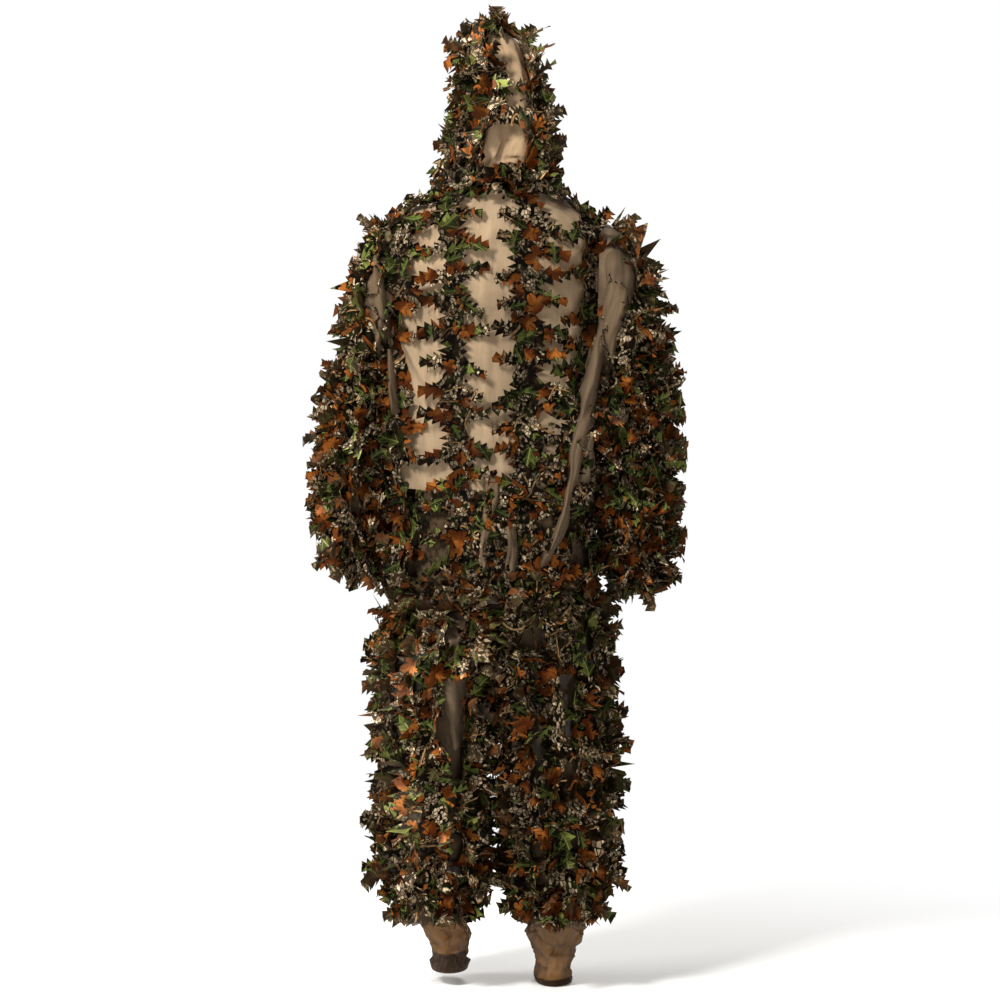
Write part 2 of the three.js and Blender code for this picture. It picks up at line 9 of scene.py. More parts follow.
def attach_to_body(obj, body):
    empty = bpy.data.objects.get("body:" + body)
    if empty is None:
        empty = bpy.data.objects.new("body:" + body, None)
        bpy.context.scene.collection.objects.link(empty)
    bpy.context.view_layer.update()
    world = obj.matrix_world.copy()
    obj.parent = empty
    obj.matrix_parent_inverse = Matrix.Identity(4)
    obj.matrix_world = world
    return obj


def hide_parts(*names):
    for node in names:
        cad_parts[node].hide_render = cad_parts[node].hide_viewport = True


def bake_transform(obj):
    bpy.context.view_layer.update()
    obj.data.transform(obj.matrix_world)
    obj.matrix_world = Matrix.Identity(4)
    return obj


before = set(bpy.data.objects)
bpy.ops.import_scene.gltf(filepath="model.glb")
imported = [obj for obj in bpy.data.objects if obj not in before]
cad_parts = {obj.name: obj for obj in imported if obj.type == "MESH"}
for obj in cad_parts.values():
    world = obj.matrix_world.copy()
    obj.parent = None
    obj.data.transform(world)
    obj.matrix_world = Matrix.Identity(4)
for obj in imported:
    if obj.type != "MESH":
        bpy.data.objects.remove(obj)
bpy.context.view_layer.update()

# A leafy ghillie suit: the sheer garments are grids of points, and every leaf strip is laid along a path on
# one of them. Metres; u runs from +X towards +Y (the back) around a garment, v along it. The left is at +X.

TAU = 2 * math.pi
SIDES = {"left": 1, "right": -1}
rng = np.random.default_rng(417)
CLOTH_FRAMES = 32
LARGEST_SAG = 0.035     # metres a point may move in the cloth simulation
SLEEVE_SEAM = 1.125     # heights at which the sleeves and the legs are cut into two pieces
LEG_SEAM = 0.538
WAIST_SHADE_TOP = 0.926     # below this height the jacket is painted dark: painted shade of the inside, where the dark trousers show through
ZIP_LOW, ZIP_HIGH = 0.744, 1.350
TOOTH_PITCH = 0.0015
BEHIND_ZIP = -0.1297    # y of the cloth behind the zip's tapes
HEM = 0.735             # height at which the jacket's leaf strips end

# ---------------------------------------------------------------- shapes, from the same stations as the CAD
# z, half width, reach to the back, reach to the front
JACKET = [
    (0.722, 0.176, 0.120, 0.128), (0.760, 0.184, 0.126, 0.131), (0.800, 0.187, 0.128, 0.131),
    (0.930, 0.185, 0.124, 0.131), (1.100, 0.188, 0.133, 0.131), (1.220, 0.193, 0.141, 0.131),
    (1.300, 0.197, 0.143, 0.131), (1.350, 0.199, 0.139, 0.130), (1.392, 0.200, 0.128, 0.120),
    (1.430, 0.178, 0.110, 0.106), (1.464, 0.118, 0.094, 0.092), (1.490, 0.092, 0.084, 0.086),
]
HOOD = [
    (1.478, 0.097, 0.090, 0.088), (1.500, 0.096, 0.093, 0.092), (1.550, 0.096, 0.104, 0.098),
    (1.620, 0.091, 0.113, 0.110), (1.690, 0.078, 0.106, 0.118), (1.730, 0.061, 0.090, 0.110),
    (1.757, 0.038, 0.072, 0.098), (1.770, 0.016, 0.056, 0.086), (1.774, 0.0006, 0.048, 0.080),
]
# z, shift of the hood's middle towards the left
HOOD_LEAN = [(1.478, 0.0), (1.500, -0.004), (1.570, -0.018), (1.640, -0.020), (1.715, -0.012), (1.772, 0.012)]
# inner x, inner z, outer x, outer z, half depth, middle y
SLEEVE = [
    (0.186, 1.190, 0.192, 1.424, 0.082, 0.005), (0.200, 1.172, 0.244, 1.402, 0.083, 0.005),
    (0.202, 1.134, 0.270, 1.330, 0.079, 0.005), (0.201, 1.085, 0.289, 1.196, 0.069, 0.004),
    (0.200, 1.040, 0.302, 1.062, 0.063, 0.003), (0.199, 0.975, 0.307, 0.980, 0.059, -0.006),
    (0.199, 0.900, 0.309, 0.900, 0.058, -0.013), (0.200, 0.830, 0.307, 0.830, 0.055, -0.019),
    (0.206, 0.782, 0.294, 0.782, 0.049, -0.022), (0.214, 0.764, 0.280, 0.764, 0.042, -0.023),
]
# z, shift of the sleeve's outer side for the left and for the right sleeve
SLEEVE_HANG = [
    (0.75, -0.002, 0.004), (0.95, 0.0, 0.010), (1.05, 0.001, 0.012), (1.13, -0.012, 0.012),
    (1.20, -0.032, 0.0), (1.30, -0.026, 0.0), (1.42, -0.040, -0.022),
]
SEAT = [
    (0.560, 0.196, 0.112, 0.110), (0.640, 0.196, 0.119, 0.115), (0.680, 0.188, 0.122, 0.118),
    (0.716, 0.171, 0.115, 0.117), (0.800, 0.167, 0.112, 0.116), (0.884, 0.162, 0.107, 0.113),
    (0.930, 0.160, 0.106, 0.112),
]
# z, middle x, half width, half depth, middle y
LEG = [
    (0.124, 0.106, 0.064, 0.068, 0.006), (0.148, 0.107, 0.072, 0.078, 0.006),
    (0.180, 0.111, 0.080, 0.085, 0.004), (0.300, 0.112, 0.086, 0.094, 0.002),
    (0.430, 0.111, 0.090, 0.101, 0.0), (0.560, 0.108, 0.092, 0.107, 0.0),
    (0.640, 0.101, 0.090, 0.110, 0.0), (0.720, 0.098, 0.090, 0.112, 0.0),
]
FOOT = [
    (0.0, 0.034, 0.064, -0.043), (0.012, 0.038, 0.069, -0.043), (0.045, 0.045, 0.072, -0.038),
    (0.085, 0.051, 0.062, -0.014), (0.120, 0.056, 0.058, 0.002), (0.150, 0.058, 0.060, 0.005),
]
SQUARE = 2.4
HOOD_YAW = math.radians(11)


def curve(rows, key):
    """Smooth values between table rows (key, ...), for an array of keys."""
    t = np.array(rows, float)
    t = t[np.argsort(t[:, 0])]
    k = np.clip(np.asarray(key, float), t[0, 0], t[-1, 0])
    i = np.clip(np.searchsorted(t[:, 0], k, side="right") - 1, 0, len(t) - 2)
    slope = np.gradient(t[:, 1:], t[:, 0], axis=0)
    span = (t[i + 1, 0] - t[i, 0])[..., None]
    f = (k - t[i, 0])[..., None] / span
    h00, h10 = 2 * f**3 - 3 * f**2 + 1, f**3 - 2 * f**2 + f
    h01, h11 = -2 * f**3 + 3 * f**2, f**3 - f**2
    out = h00 * t[i, 1:] + h10 * span * slope[i] + h01 * t[i + 1, 1:] + h11 * span * slope[i + 1]
    return np.moveaxis(out, -1, 0)


def smooth(x, a, b):
    t = np.clip((np.asarray(x, float) - a) / (b - a), 0, 1)
    return t * t * (3 - 2 * t)


LATTICE = np.random.default_rng(91).random((32, 32, 32)) * 2 - 1


def noise(p, scale, shift=0.0):
    """Smooth value noise from -1 to 1 at points p, with features about scale across."""
    q = np.asarray(p, float) / scale + 7.3 + shift * np.array([1.7, 3.1, 5.9])
    i = np.floor(q).astype(int)
    f = q - i
    f = f * f * (3 - 2 * f)
    total = 0.0
    for corner in np.ndindex(2, 2, 2):
        wx, wy, wz = (f[..., k] if c else 1 - f[..., k] for k, c in enumerate(corner))
        x, y, z = ((i[..., k] + c) % len(LATTICE) for k, c in enumerate(corner))
        total = total + wx * wy * wz * LATTICE[x, y, z]
    return total


def line_noise(x, scale, shift=0.0):
    return noise(np.stack([x, 0 * x, 0 * x], -1), scale, shift)


def distances(P):
    """How far each point lies from the first, along a line of points or along the rows of a grid."""
    steps = np.linalg.norm(np.diff(P, axis=-2), axis=-1)
    return np.concatenate([[0], np.cumsum(steps.reshape(-1, steps.shape[-1]).mean(0))])


def rounds(top, bottom, nv, nu):
    """Heights and angles of a closed grid of nv rows and nu columns."""
    z = np.linspace(top, bottom, nv)[:, None] * np.ones(nu)
    u = (np.arange(nu) / nu * TAU)[None] * np.ones((nv, 1))
    return z, u


def ring(u, half, back, front):
    """x and y of a rounded square ring at angles u."""
    c, s = np.cos(u), np.sin(u)
    reach, middle = (back + front) / 2, (back - front) / 2
    x = half * np.sign(c) * np.abs(c) ** (2 / SQUARE)
    y = middle + reach * np.sign(s) * np.abs(s) ** (2 / SQUARE)
    return x, y


def unit(a):
    return a / np.maximum(np.linalg.norm(a, axis=-1, keepdims=True), 1e-9)


class Sheet:
    """A grid of points P[v][u]. closed joins the last u to the first; sign says which side faces out."""

    def __init__(self, points, closed=True, sign=-1):
        self.P, self.closed, self.sign = points, closed, sign
        self.nv, self.nu = points.shape[:2]

    def normals(self):
        P = self.P
        if self.closed:
            du = np.roll(P, -1, 1) - np.roll(P, 1, 1)
        else:
            du = np.gradient(P, axis=1)
        return self.sign * unit(np.cross(du, np.gradient(P, axis=0)))

    def push(self, amount):
        """Moves the grid along its normals."""
        self.P = self.P + self.normals() * amount[..., None]
        return self

    def at(self, u, v):
        """Points at u and v from 0 to 1."""
        u, v = np.asarray(u, float), np.asarray(v, float)
        x = (u % 1.0) * self.nu if self.closed else np.clip(u, 0, 1) * (self.nu - 1)
        y = np.clip(v, 0, 1) * (self.nv - 1)
        i, j = np.floor(x).astype(int), np.floor(y).astype(int)
        if not self.closed:
            i = np.minimum(i, self.nu - 2)
        j = np.minimum(j, self.nv - 2)
        fx, fy = (x - i)[..., None], (y - j)[..., None]
        i0, i1 = i % self.nu, (i + 1) % self.nu
        top = self.P[j, i0] * (1 - fx) + self.P[j, i1] * fx
        low = self.P[j + 1, i0] * (1 - fx) + self.P[j + 1, i1] * fx
        return top * (1 - fy) + low * fy

    def mirror(self):
        return Sheet(self.P * np.array([-1.0, 1, 1]), self.closed, -self.sign)


# ---------------------------------------------------------------- the sheer garments
def folds(P, amount, scale=(0.05, 0.05, 0.22), shift=0.0):
    """Long soft folds, which run mostly up and down."""
    q = P / np.array(scale)
    return amount * (0.65 * noise(q, 1.0, shift) + 0.35 * noise(q, 0.45, shift + 1))


def pleat(P, path, width, height, lean):
    """A loose fold of cloth along a path of (x, z) points on the back."""
    path = np.array(path)
    best, side = np.full(P.shape[:2], 9.0), np.zeros(P.shape[:2])
    along = np.zeros(P.shape[:2])
    xz = P[..., [0, 2]]
    for k in range(len(path) - 1):
        a, d = path[k], path[k + 1] - path[k]
        t = np.clip(((xz - a) @ d) / (d @ d), 0, 1)
        off = xz - (a + t[..., None] * d)
        dist = np.linalg.norm(off, axis=-1)
        near = dist < best
        best = np.where(near, dist, best)
        side = np.where(near, np.sign(d[0] * off[..., 1] - d[1] * off[..., 0]), side)
        along = np.where(near, (k + t) / (len(path) - 1), along)
    x = best * side / width
    shape = np.exp(-((x - lean * np.maximum(0, 1 - np.abs(x))) ** 2) * 2.2)
    ends = smooth(along, 0, 0.12) * smooth(1 - along, 0, 0.15)
    return height * shape * ends * (P[..., 1] > 0)


# paths of (x, z) down the back, width, height, lean
PLEATS = [
    ([(0.004, 1.42), (0.012, 1.30), (0.006, 1.15), (0.010, 0.96)], 0.009, 0.006, 0.35),
    ([(-0.205, 1.36), (-0.205, 1.25), (-0.168, 1.10), (-0.118, 0.90), (-0.085, 0.75)], 0.020, 0.017, 0.35),
    ([(-0.150, 1.10), (-0.140, 0.95), (-0.125, 0.78)], 0.013, 0.009, -0.3),
    ([(0.200, 1.34), (0.192, 1.20), (0.176, 1.05), (0.160, 0.92)], 0.017, 0.013, -0.35),
    ([(0.030, 0.93), (0.018, 0.82), (0.010, 0.74)], 0.012, 0.008, 0.35),
    ([(-0.012, 1.00), (-0.006, 0.86), (-0.018, 0.74)], 0.011, 0.008, -0.3),
]


def torso():
    z, u = rounds(1.490, 0.722, 170, 240)
    x, y = ring(u, *curve(JACKET, z))
    sheet = Sheet(np.stack([x, y, z], -1))
    P = sheet.P
    flat = smooth(np.abs(P[..., 0]), 0.012, 0.05)  # the cloth beside the zip stays flat
    front = P[..., 1] < 0
    calm = np.where(front, flat, 1.0)
    body = smooth(1.47 - P[..., 2], 0, 0.08)
    push = (folds(P, 0.0055) + folds(P, 0.0018, (0.018, 0.018, 0.16), 6.0)) * body
    for path, width, height, lean in PLEATS:
        push += pleat(P, path, width, height, lean)
    push += 0.0016 * np.exp(-((P[..., 0] + 0.002) / 0.0022) ** 2) * (~front)
    gather = smooth(0.80 - P[..., 2], 0, 0.07)
    push += gather * 0.0055 * np.sin(u * 41 + 2.2 * noise(P, 0.06))
    push += gather * 0.003 * np.sin(u * 67 + 3 * noise(P, 0.03))
    return sheet.push(push * calm)


def sleeve(side):
    cuff = 0.020 if side > 0 else -0.012
    rows = [(i,) + r for i, r in enumerate(SLEEVE)]
    k, u = rounds(0, len(SLEEVE) - 1, 190, 120)
    ix, iz, ox, oz, deep, my = curve(rows, k)
    x = (ix + ox) / 2 + (ox - ix) / 2 * np.cos(u)
    z = (iz + oz) / 2 + (oz - iz) / 2 * np.cos(u)
    y = my + deep * np.sin(u)
    z = z + cuff * smooth(1.0 - z, 0, 0.2)
    x = x + curve(SLEEVE_HANG, z)[0 if side > 0 else 1] * (1 + np.cos(u)) / 2 * smooth(k, 0, 1.0)
    sheet = Sheet(np.stack([x, y, z], -1))
    P = sheet.P
    hold = smooth(k, 0.3, 1.5)
    push = folds(P, 0.006, (0.04, 0.04, 0.11), side * 3.0) * hold
    push += 0.004 * hold * np.sin((P[..., 2] + 0.35 * P[..., 0]) * 95 + 4 * noise(P, 0.09, side))
    low = smooth(0.81 + cuff - P[..., 2], 0, 0.04)
    push += low * 0.004 * np.sin(u * 19 + 2 * noise(P, 0.04))
    sheet.push(push * np.where(np.cos(u) < -0.6, 0.3, 1.0))
    return sheet if side > 0 else sheet.mirror()


def seat():
    z, u = rounds(0.930, 0.712, 60, 200)
    x, y = ring(u, *curve(SEAT, z))
    sheet = Sheet(np.stack([x, y, z], -1))
    push = -0.002 + 0.002 * smooth(z, 0.86, 0.93) * np.sin(u * 44 + 2 * noise(sheet.P, 0.05))
    return sheet.push(push)


def leg(side):
    z, u = rounds(0.716, 0.124, 210, 132)
    cx, hx, hy, cy = curve(LEG, z)
    lx, ly = cx + hx * np.cos(u), cy + hy * np.sin(u)
    half, back, front = curve(SEAT, z)
    sx, sy = ring(u, half, back, front)
    sx = np.where(np.cos(u) > 0, sx, 0.003)
    t = smooth(z, 0.585, 0.665)
    x, y = lx * (1 - t) + sx * t, ly * (1 - t) + sy * t
    sheet = Sheet(np.stack([x, y, z], -1))
    P = sheet.P
    free = smooth(0.69 - P[..., 2], 0, 0.08) * np.where(np.cos(u) < -0.5, 0.35, 1.0)
    push = folds(P, 0.008, (0.045, 0.045, 0.16), side * 5.0) * free
    push += 0.0045 * free * np.sin((P[..., 2] + 0.3 * P[..., 1]) * 62 + 4 * noise(P, 0.12, side + 9))
    low = smooth(0.185 - P[..., 2], 0, 0.04)
    push += low * 0.005 * np.sin(u * 23 + 2 * noise(P, 0.04))
    sheet.push(push)
    return sheet if side > 0 else sheet.mirror()


def hood():
    nu, nv = 150, 120
    v = np.linspace(0, 1, nv)
    height = np.interp(v, [0, 0.75, 0.95, 1], [1.478, 1.735, 1.771, 1.774])
    z = height[:, None] * np.ones(nu)
    brow = smooth(z, 1.688, 1.730)
    lower = math.radians(-44) * (1 - brow) + math.radians(-90) * brow
    s = np.linspace(0, 1, nu)[None] * np.ones((nv, 1))
    u = lower + (math.pi - 2 * lower) * s
    x, y = ring(u, *curve(HOOD, z))
    sheet = Sheet(np.stack([x, y, z], -1), closed=False)
    P = sheet.P
    edge = smooth(np.minimum(s, 1 - s), 0, 0.08)
    push = folds(P, 0.007, (0.05, 0.05, 0.10), 2.0) * smooth(z, 1.485, 1.53) * (0.3 + 0.7 * edge)
    push += 0.004 * np.exp(-((P[..., 0] - 0.004) / 0.004) ** 2) * (P[..., 1] > 0)
    sheet.push(push)
    turn = HOOD_YAW * smooth(sheet.P[..., 2], 1.50, 1.66)
    c, si = np.cos(turn), np.sin(turn)
    x, y = sheet.P[..., 0].copy(), sheet.P[..., 1].copy()
    lean = curve(HOOD_LEAN, sheet.P[..., 2])[0]
    sheet.P[..., 0], sheet.P[..., 1] = c * x - si * y + lean, si * x + c * y
    return sheet


def foot(side):
    """The sheer, crumpled end of a trouser leg that covers the boot."""
    x0, drop = (0.086, 0.024) if side > 0 else (0.110, 0.0)
    z, u = rounds(0.150, 0.0, 64, 96)
    half, deep, my = curve(FOOT, z)
    lean = (0.106 - x0) * np.maximum(0, z - 0.04) / 0.14
    flare = (0.004 if side > 0 else 0.016) * np.exp(-((z - 0.098) / 0.026) ** 2)
    x = x0 + lean + half * np.cos(u) + flare * np.maximum(0, np.cos(u)) ** 2
    y = my + deep * np.sin(u)
    sheet = Sheet(np.stack([x, y, z + drop], -1))
    P = sheet.P
    free = smooth(z, 0.004, 0.03)
    push = folds(P, 0.008, (0.030, 0.030, 0.035), side * 2.0) * free
    push += free * 0.006 * np.sin((P[..., 2] + 0.9 * P[..., 0]) * 130 + 5 * noise(P, 0.06, side))
    sheet.push(push)
    sheet.P[..., 2] = np.maximum(sheet.P[..., 2], drop + 0.0005)
    return sheet if side > 0 else sheet.mirror()


# ---------------------------------------------------------------- meshes
def mesh_object(name, verts, faces, material, uv=None, tint=None):
    mesh = bpy.data.meshes.new(name)
    mesh.from_pydata(verts.reshape(-1, 3).tolist(), [], faces.tolist())
    mesh.update()
    if uv is not None:
        layer = mesh.uv_layers.new(name="print_uv")
        index = np.zeros(len(mesh.loops), np.int32)
        mesh.loops.foreach_get("vertex_index", index)
        layer.data.foreach_set("uv", uv.reshape(-1, 2)[index].astype(np.float32).ravel())
    if tint is not None:
        attribute = mesh.attributes.new("tint", "FLOAT", "POINT")
        attribute.data.foreach_set("value", tint.astype(np.float32))
    mesh.polygons.foreach_set("use_smooth", np.ones(len(mesh.polygons), bool))
    mesh.materials.append(material)
    obj = bpy.data.objects.new(name, mesh)
    bpy.context.scene.collection.objects.link(obj)
    return obj


def grid_faces(nv, nu, closed, flip, keep=None):
    """Four-sided faces of a grid of points; keep says which points a face may start from."""
    i = np.arange(nu if closed else nu - 1)
    j = np.arange(nv - 1)
    jj, ii = np.meshgrid(j, i, indexing="ij")
    a, b = jj * nu + ii, jj * nu + (ii + 1) % nu
    c, d = (jj + 1) * nu + (ii + 1) % nu, (jj + 1) * nu + ii
    quads = np.stack([a, d, c, b] if not flip else [a, b, c, d], -1)
    if keep is not None:
        quads = quads[keep[:-1, : len(i)] & keep[1:, : len(i)]]
    return quads.reshape(-1, 4)


def cloth_piece(name, sheet, material, rows=None, columns=None, keep=None):
    """Part of a sheet as one mesh: rows is a range of v indices, columns a range of u indices."""
    r0, r1 = rows or (0, sheet.nv)
    closed = sheet.closed and columns is None
    if columns is None:
        take = np.arange(sheet.nu)
    else:
        take = np.arange(columns[0], columns[1] + 1) % sheet.nu
    P = sheet.P[r0:r1][:, take]
    nv, nu = P.shape[:2]
    quads = grid_faces(nv, nu, closed, sheet.sign > 0, None if keep is None else keep[r0:r1][:, take])
    across = distances(P)[None] * np.ones((nv, 1))
    return mesh_object(name, P, quads, material, np.stack([across, P[..., 2]], -1))


# loose folds of sheer cloth at the armholes, as (z, x, half width); the lobes keep clear of them
ARMHOLE_FOLDS = {
    "right": [(1.390, -0.236, 0.024), (1.310, -0.231, 0.030), (1.240, -0.215, 0.024), (1.180, -0.200, 0.024),
              (1.126, -0.184, 0.027), (1.065, -0.171, 0.026), (1.003, -0.155, 0.019), (0.942, -0.143, 0.013),
              (0.881, -0.126, 0.013), (0.820, -0.104, 0.011), (0.764, -0.082, 0.017)],
    "left": [(1.385, 0.238, 0.018), (1.310, 0.229, 0.026), (1.240, 0.214, 0.020), (1.120, 0.196, 0.017),
             (1.050, 0.185, 0.011)]}
BACK_FOLDS = {
    "lower_back": [(0.955, 0.004, 0.014), (0.880, 0.009, 0.015), (0.770, 0.024, 0.010)],
    "hem": [(0.870, -0.029, 0.010), (0.820, -0.031, 0.012), (0.760, -0.027, 0.015)]}
CLEAR_FOLDS = [*ARMHOLE_FOLDS.values(), *BACK_FOLDS.values()]


class Leaves:
    """Leaf cloth for one piece: vertices, faces, the print's own coordinates and a tint per vertex."""

    def __init__(self):
        self.v, self.f, self.uv, self.t, self.n = [], [], [], [], 0

    def add(self, verts, faces, uv, tint):
        self.v.append(verts.reshape(-1, 3))
        self.f.append(faces + self.n)
        self.uv.append(uv.reshape(-1, 2))
        self.t.append(tint.reshape(-1))
        self.n += verts.reshape(-1, 3).shape[0]

    def build(self, name, material):
        verts, faces, uv, tint = (np.concatenate(part) for part in (self.v, self.f, self.uv, self.t))
        return mesh_object(name, contain(verts), faces, material, uv, tint)


def contain(v):
    """Leaf tips keep inside the suit's overall size."""
    v = v.copy()
    for axis, (low, high) in enumerate(((-0.359, 0.359), (-0.176, 0.176), (0.003, 1.812))):
        room = 0.02
        over = v[:, axis] - (high - room)
        v[:, axis] = np.where(over > 0, high - room + room * np.tanh(over / room), v[:, axis])
        under = (low + room) - v[:, axis]
        if axis < 2:
            v[:, axis] = np.where(under > 0, low + room - room * np.tanh(under / room), v[:, axis])
        else:
            v[:, axis] = np.maximum(v[:, axis], low)
    return v


TEETH = 5
LOBE_ROWS = 2 * TEETH + 1
LOBE_COLUMNS = 5
LOBE_FACES = grid_faces(LOBE_ROWS, LOBE_COLUMNS, False, False)


def lobes(leaves, origin, across, along, normal, length, width, lift, curl, yaw, twist, droop, print_at, gap,
          faded):
    """Serrated lobes, one per row of the arrays; across points from the strip's middle to the lobe's tip."""
    count = len(origin)
    if not count:
        return
    length, width, lift, curl, twist, droop, gap = (
        values[:, None, None] for values in (length, width, lift, curl, twist, droop, gap))
    s = np.linspace(0, 1, LOBE_ROWS)
    envelope = np.interp(s, [0, 0.3, 0.5, 0.7, 0.9, 1.0], [0.95, 1.0, 0.97, 0.88, 0.64, 0.05])
    tip = (np.arange(LOBE_ROWS) % 2 == 1)
    cut = np.where(tip, 1.0, 0.50)
    q = np.array([-1, -0.45, 0, 0.45, 1.0])
    edge = np.abs(q) == 1
    ragged = 1 + 0.13 * rng.standard_normal((count, LOBE_ROWS, LOBE_COLUMNS)) * edge
    half = width * (envelope * cut)[None, :, None] * np.clip(ragged, 0.45, 1.6)
    inner = width * (envelope * 0.5)[None, :, None]
    a = np.where(edge[None, None], q * half, q * inner)
    b = length * np.where(edge, s[:, None] + np.where(tip, 0.070, -0.020)[:, None], s[:, None])[None]
    b = np.minimum(b, length * 1.02) * np.ones_like(a)
    # directions after turning within the cloth's plane
    cy, sy = np.cos(yaw)[:, None], np.sin(yaw)[:, None]
    db = unit(cy * across + sy * along)
    da = unit(np.cross(normal, db))
    da *= np.sign(np.sum(da * along, -1, keepdims=True))
    t = b / length
    angle = lift * (0.35 + 0.65 * smooth(t, 0, 0.35)) + curl * t
    step = 1.0 / (LOBE_ROWS - 1)
    mid = angle[:, :, 2]
    out = np.cumsum(np.sin(mid), 1) * step - np.sin(mid[:, :1]) * step
    run = np.cumsum(np.cos(mid), 1) * step - np.cos(mid[:, :1]) * step
    extra = b - length * s[None, :, None]
    go = length * run[:, :, None] + extra * np.cos(angle)
    up = length * out[:, :, None] + extra * np.sin(angle)
    roll = twist * t
    wave = rng.random((count, 1, 1)) * 6.28
    crumple = 0.0035 * np.sin(a * 190 + wave) * (0.4 + t) + 0.003 * np.sin(b * 120 + wave * 2)
    cup = (rng.random((count, 1, 1)) - 0.35) * 0.55
    up2 = a * np.sin(roll) + cup * a**2 / width + crumple
    P = (origin[:, None, None] + db[:, None, None] * (go - up2 * np.sin(angle))[..., None]
         + da[:, None, None] * (a * np.cos(roll))[..., None]
         + normal[:, None, None] * (gap + up + up2 * np.cos(angle))[..., None])
    P[..., 2] -= droop * length * t**2
    print_u, print_v, sense = (print_at[:, None, None, k] for k in range(3))
    uv = np.stack([print_u + a, print_v + b * sense], -1)
    facing = np.sum(np.cross(da, db) * normal, -1) > 0
    faces = np.where(facing[:, None, None], LOBE_FACES[None, :, ::-1], LOBE_FACES[None])
    faces = (faces + (np.arange(count) * LOBE_ROWS * LOBE_COLUMNS)[:, None, None]).reshape(-1, 4)
    tint = faded * rng.random((count, 1, 1)) * np.ones_like(a)
    leaves.add(P, faces, uv, tint)


BESIDE = 0.012      # how far to each side a strip looks for its directions


def under_fold(points):
    """Which points at the back lie under one of the loose folds."""
    hidden = np.zeros(len(points), bool)
    for path in CLEAR_FOLDS:
        x, half = curve(path, points[:, 2])
        inside = (points[:, 2] < path[0][0]) & (points[:, 2] > path[-1][0]) & (points[:, 1] > 0)
        hidden |= inside & (np.abs(points[:, 0] - x) < half * 0.9)
    return hidden


def strip(sheet, path, into, pitch=0.056, length=(0.055, 0.085), width=0.017, trunk=0.022, lift=(5, 20),
          curl=(-10, 25), yaw=16, twist=25, droop=0.08, sides=(1, -1), gap=0.004, ruffle=0.006, faded=1.0,
          loose=True):
    """A leaf strip along a path of (u, v) points on a sheet; into(z, x) gives the Leaves that take a lobe."""
    path = np.array(path, float)
    t = np.linspace(0, 1, 240)
    key = np.linspace(0, 1, len(path))
    u, v = np.interp(t, key, path[:, 0]), np.interp(t, key, path[:, 1])
    lengths = distances(sheet.at(u, v))
    total = lengths[-1]

    def place(d, aside=0.0):
        d = np.clip(d, 0, total)
        return sheet.at(np.interp(d, lengths, u) + aside, np.interp(d, lengths, v))

    def frame_at(d):
        """Points at the lengths d along the strip, and the directions across, along and out of the sheet."""
        du = place(d, BESIDE) - place(d, -BESIDE)
        al = unit(place(d + BESIDE) - place(d - BESIDE))
        n = sheet.sign * unit(np.cross(unit(du), al))
        return place(d), unit(np.cross(al, n)), al, n

    shift = rng.random(2) * 3
    # the strip's own band
    rows = max(8, int(total / 0.007))
    d = np.linspace(0, total, rows)
    p, ac, al, n = frame_at(d)
    q = np.array([-1, -0.6, -0.25, 0, 0.25, 0.6, 1.0])
    edge = np.abs(q) == 1
    saw = np.where(np.arange(rows) % 2 == 0, 1.25, 0.85)[:, None] * (1 + 0.2 * rng.standard_normal((rows, 7)))
    swell = 1 + 0.25 * line_noise(d * 30, 1.0, shift[0])
    b = q * trunk * swell[:, None] * np.where(edge, saw, 1.0)
    wave = d * 22 + shift[0] * 9
    uneven = np.stack([line_noise(wave, 1.0), line_noise(wave, 1.0, 5)], -1)[:, (q > 0).astype(int)]
    rise = (np.abs(b) / trunk) ** 1.5 * ruffle * (1.2 + uneven)
    grid = np.stack([d[:, None] * 60 + 0 * b, q * 2 + 0 * b, 0 * b], -1)
    rise = rise + 0.003 * noise(grid, 1.0, shift[1])
    B = p[:, None] + ac[:, None] * b[..., None] + n[:, None] * (gap + rise)[..., None]
    uv = np.stack([shift[0] + d[:, None] + 0 * b, shift[1] + b], -1)
    tint = np.full(B.shape[:2], faded * rng.random())
    owner = [into(z, x) for z, x in zip(B[:, 3, 2], B[:, 3, 0])]
    start = 0
    for k in range(1, rows):
        if owner[k] is not owner[start] or k == rows - 1:
            part = slice(start, k + 1)
            owner[start].add(B[part], grid_faces(k + 1 - start, len(q), False, True), uv[part], tint[part])
            start = k
    # its lobes
    for side in sides:
        places = np.arange(pitch * 0.35, total, pitch)
        places = places + rng.uniform(-0.18, 0.18, len(places)) * pitch
        if not len(places):
            continue
        p, ac, al, n = frame_at(places)
        m = len(places)
        size = rng.uniform(*(length[0 if side > 0 else 1] if isinstance(length[0], tuple) else length), m)
        args = dict(
            across=ac * side, along=al, normal=n, length=size,
            width=width * rng.uniform(0.85, 1.2, m),
            lift=np.radians(rng.uniform(*lift, m)), curl=np.radians(rng.uniform(*curl, m)),
            yaw=np.radians(rng.normal(0, yaw, m)), twist=np.radians(rng.normal(0, twist, m)),
            droop=droop * rng.uniform(0.2, 1.6, m),
            print_at=np.stack([shift[0] + places, np.full(m, shift[1]), np.full(m, float(side))], -1),
            gap=gap + rng.uniform(0.0, 0.005, m))
        tips = p + 0.6 * size[:, None] * ac * side
        shown = np.flatnonzero(~(loose & (under_fold(p) | under_fold(tips))))
        groups = {}
        for k in shown:
            groups.setdefault(into(p[k, 2], p[k, 0]), []).append(k)
        for target, members in groups.items():
            lobes(target, p[members], faded=faded, **{key: value[members] for key, value in args.items()})


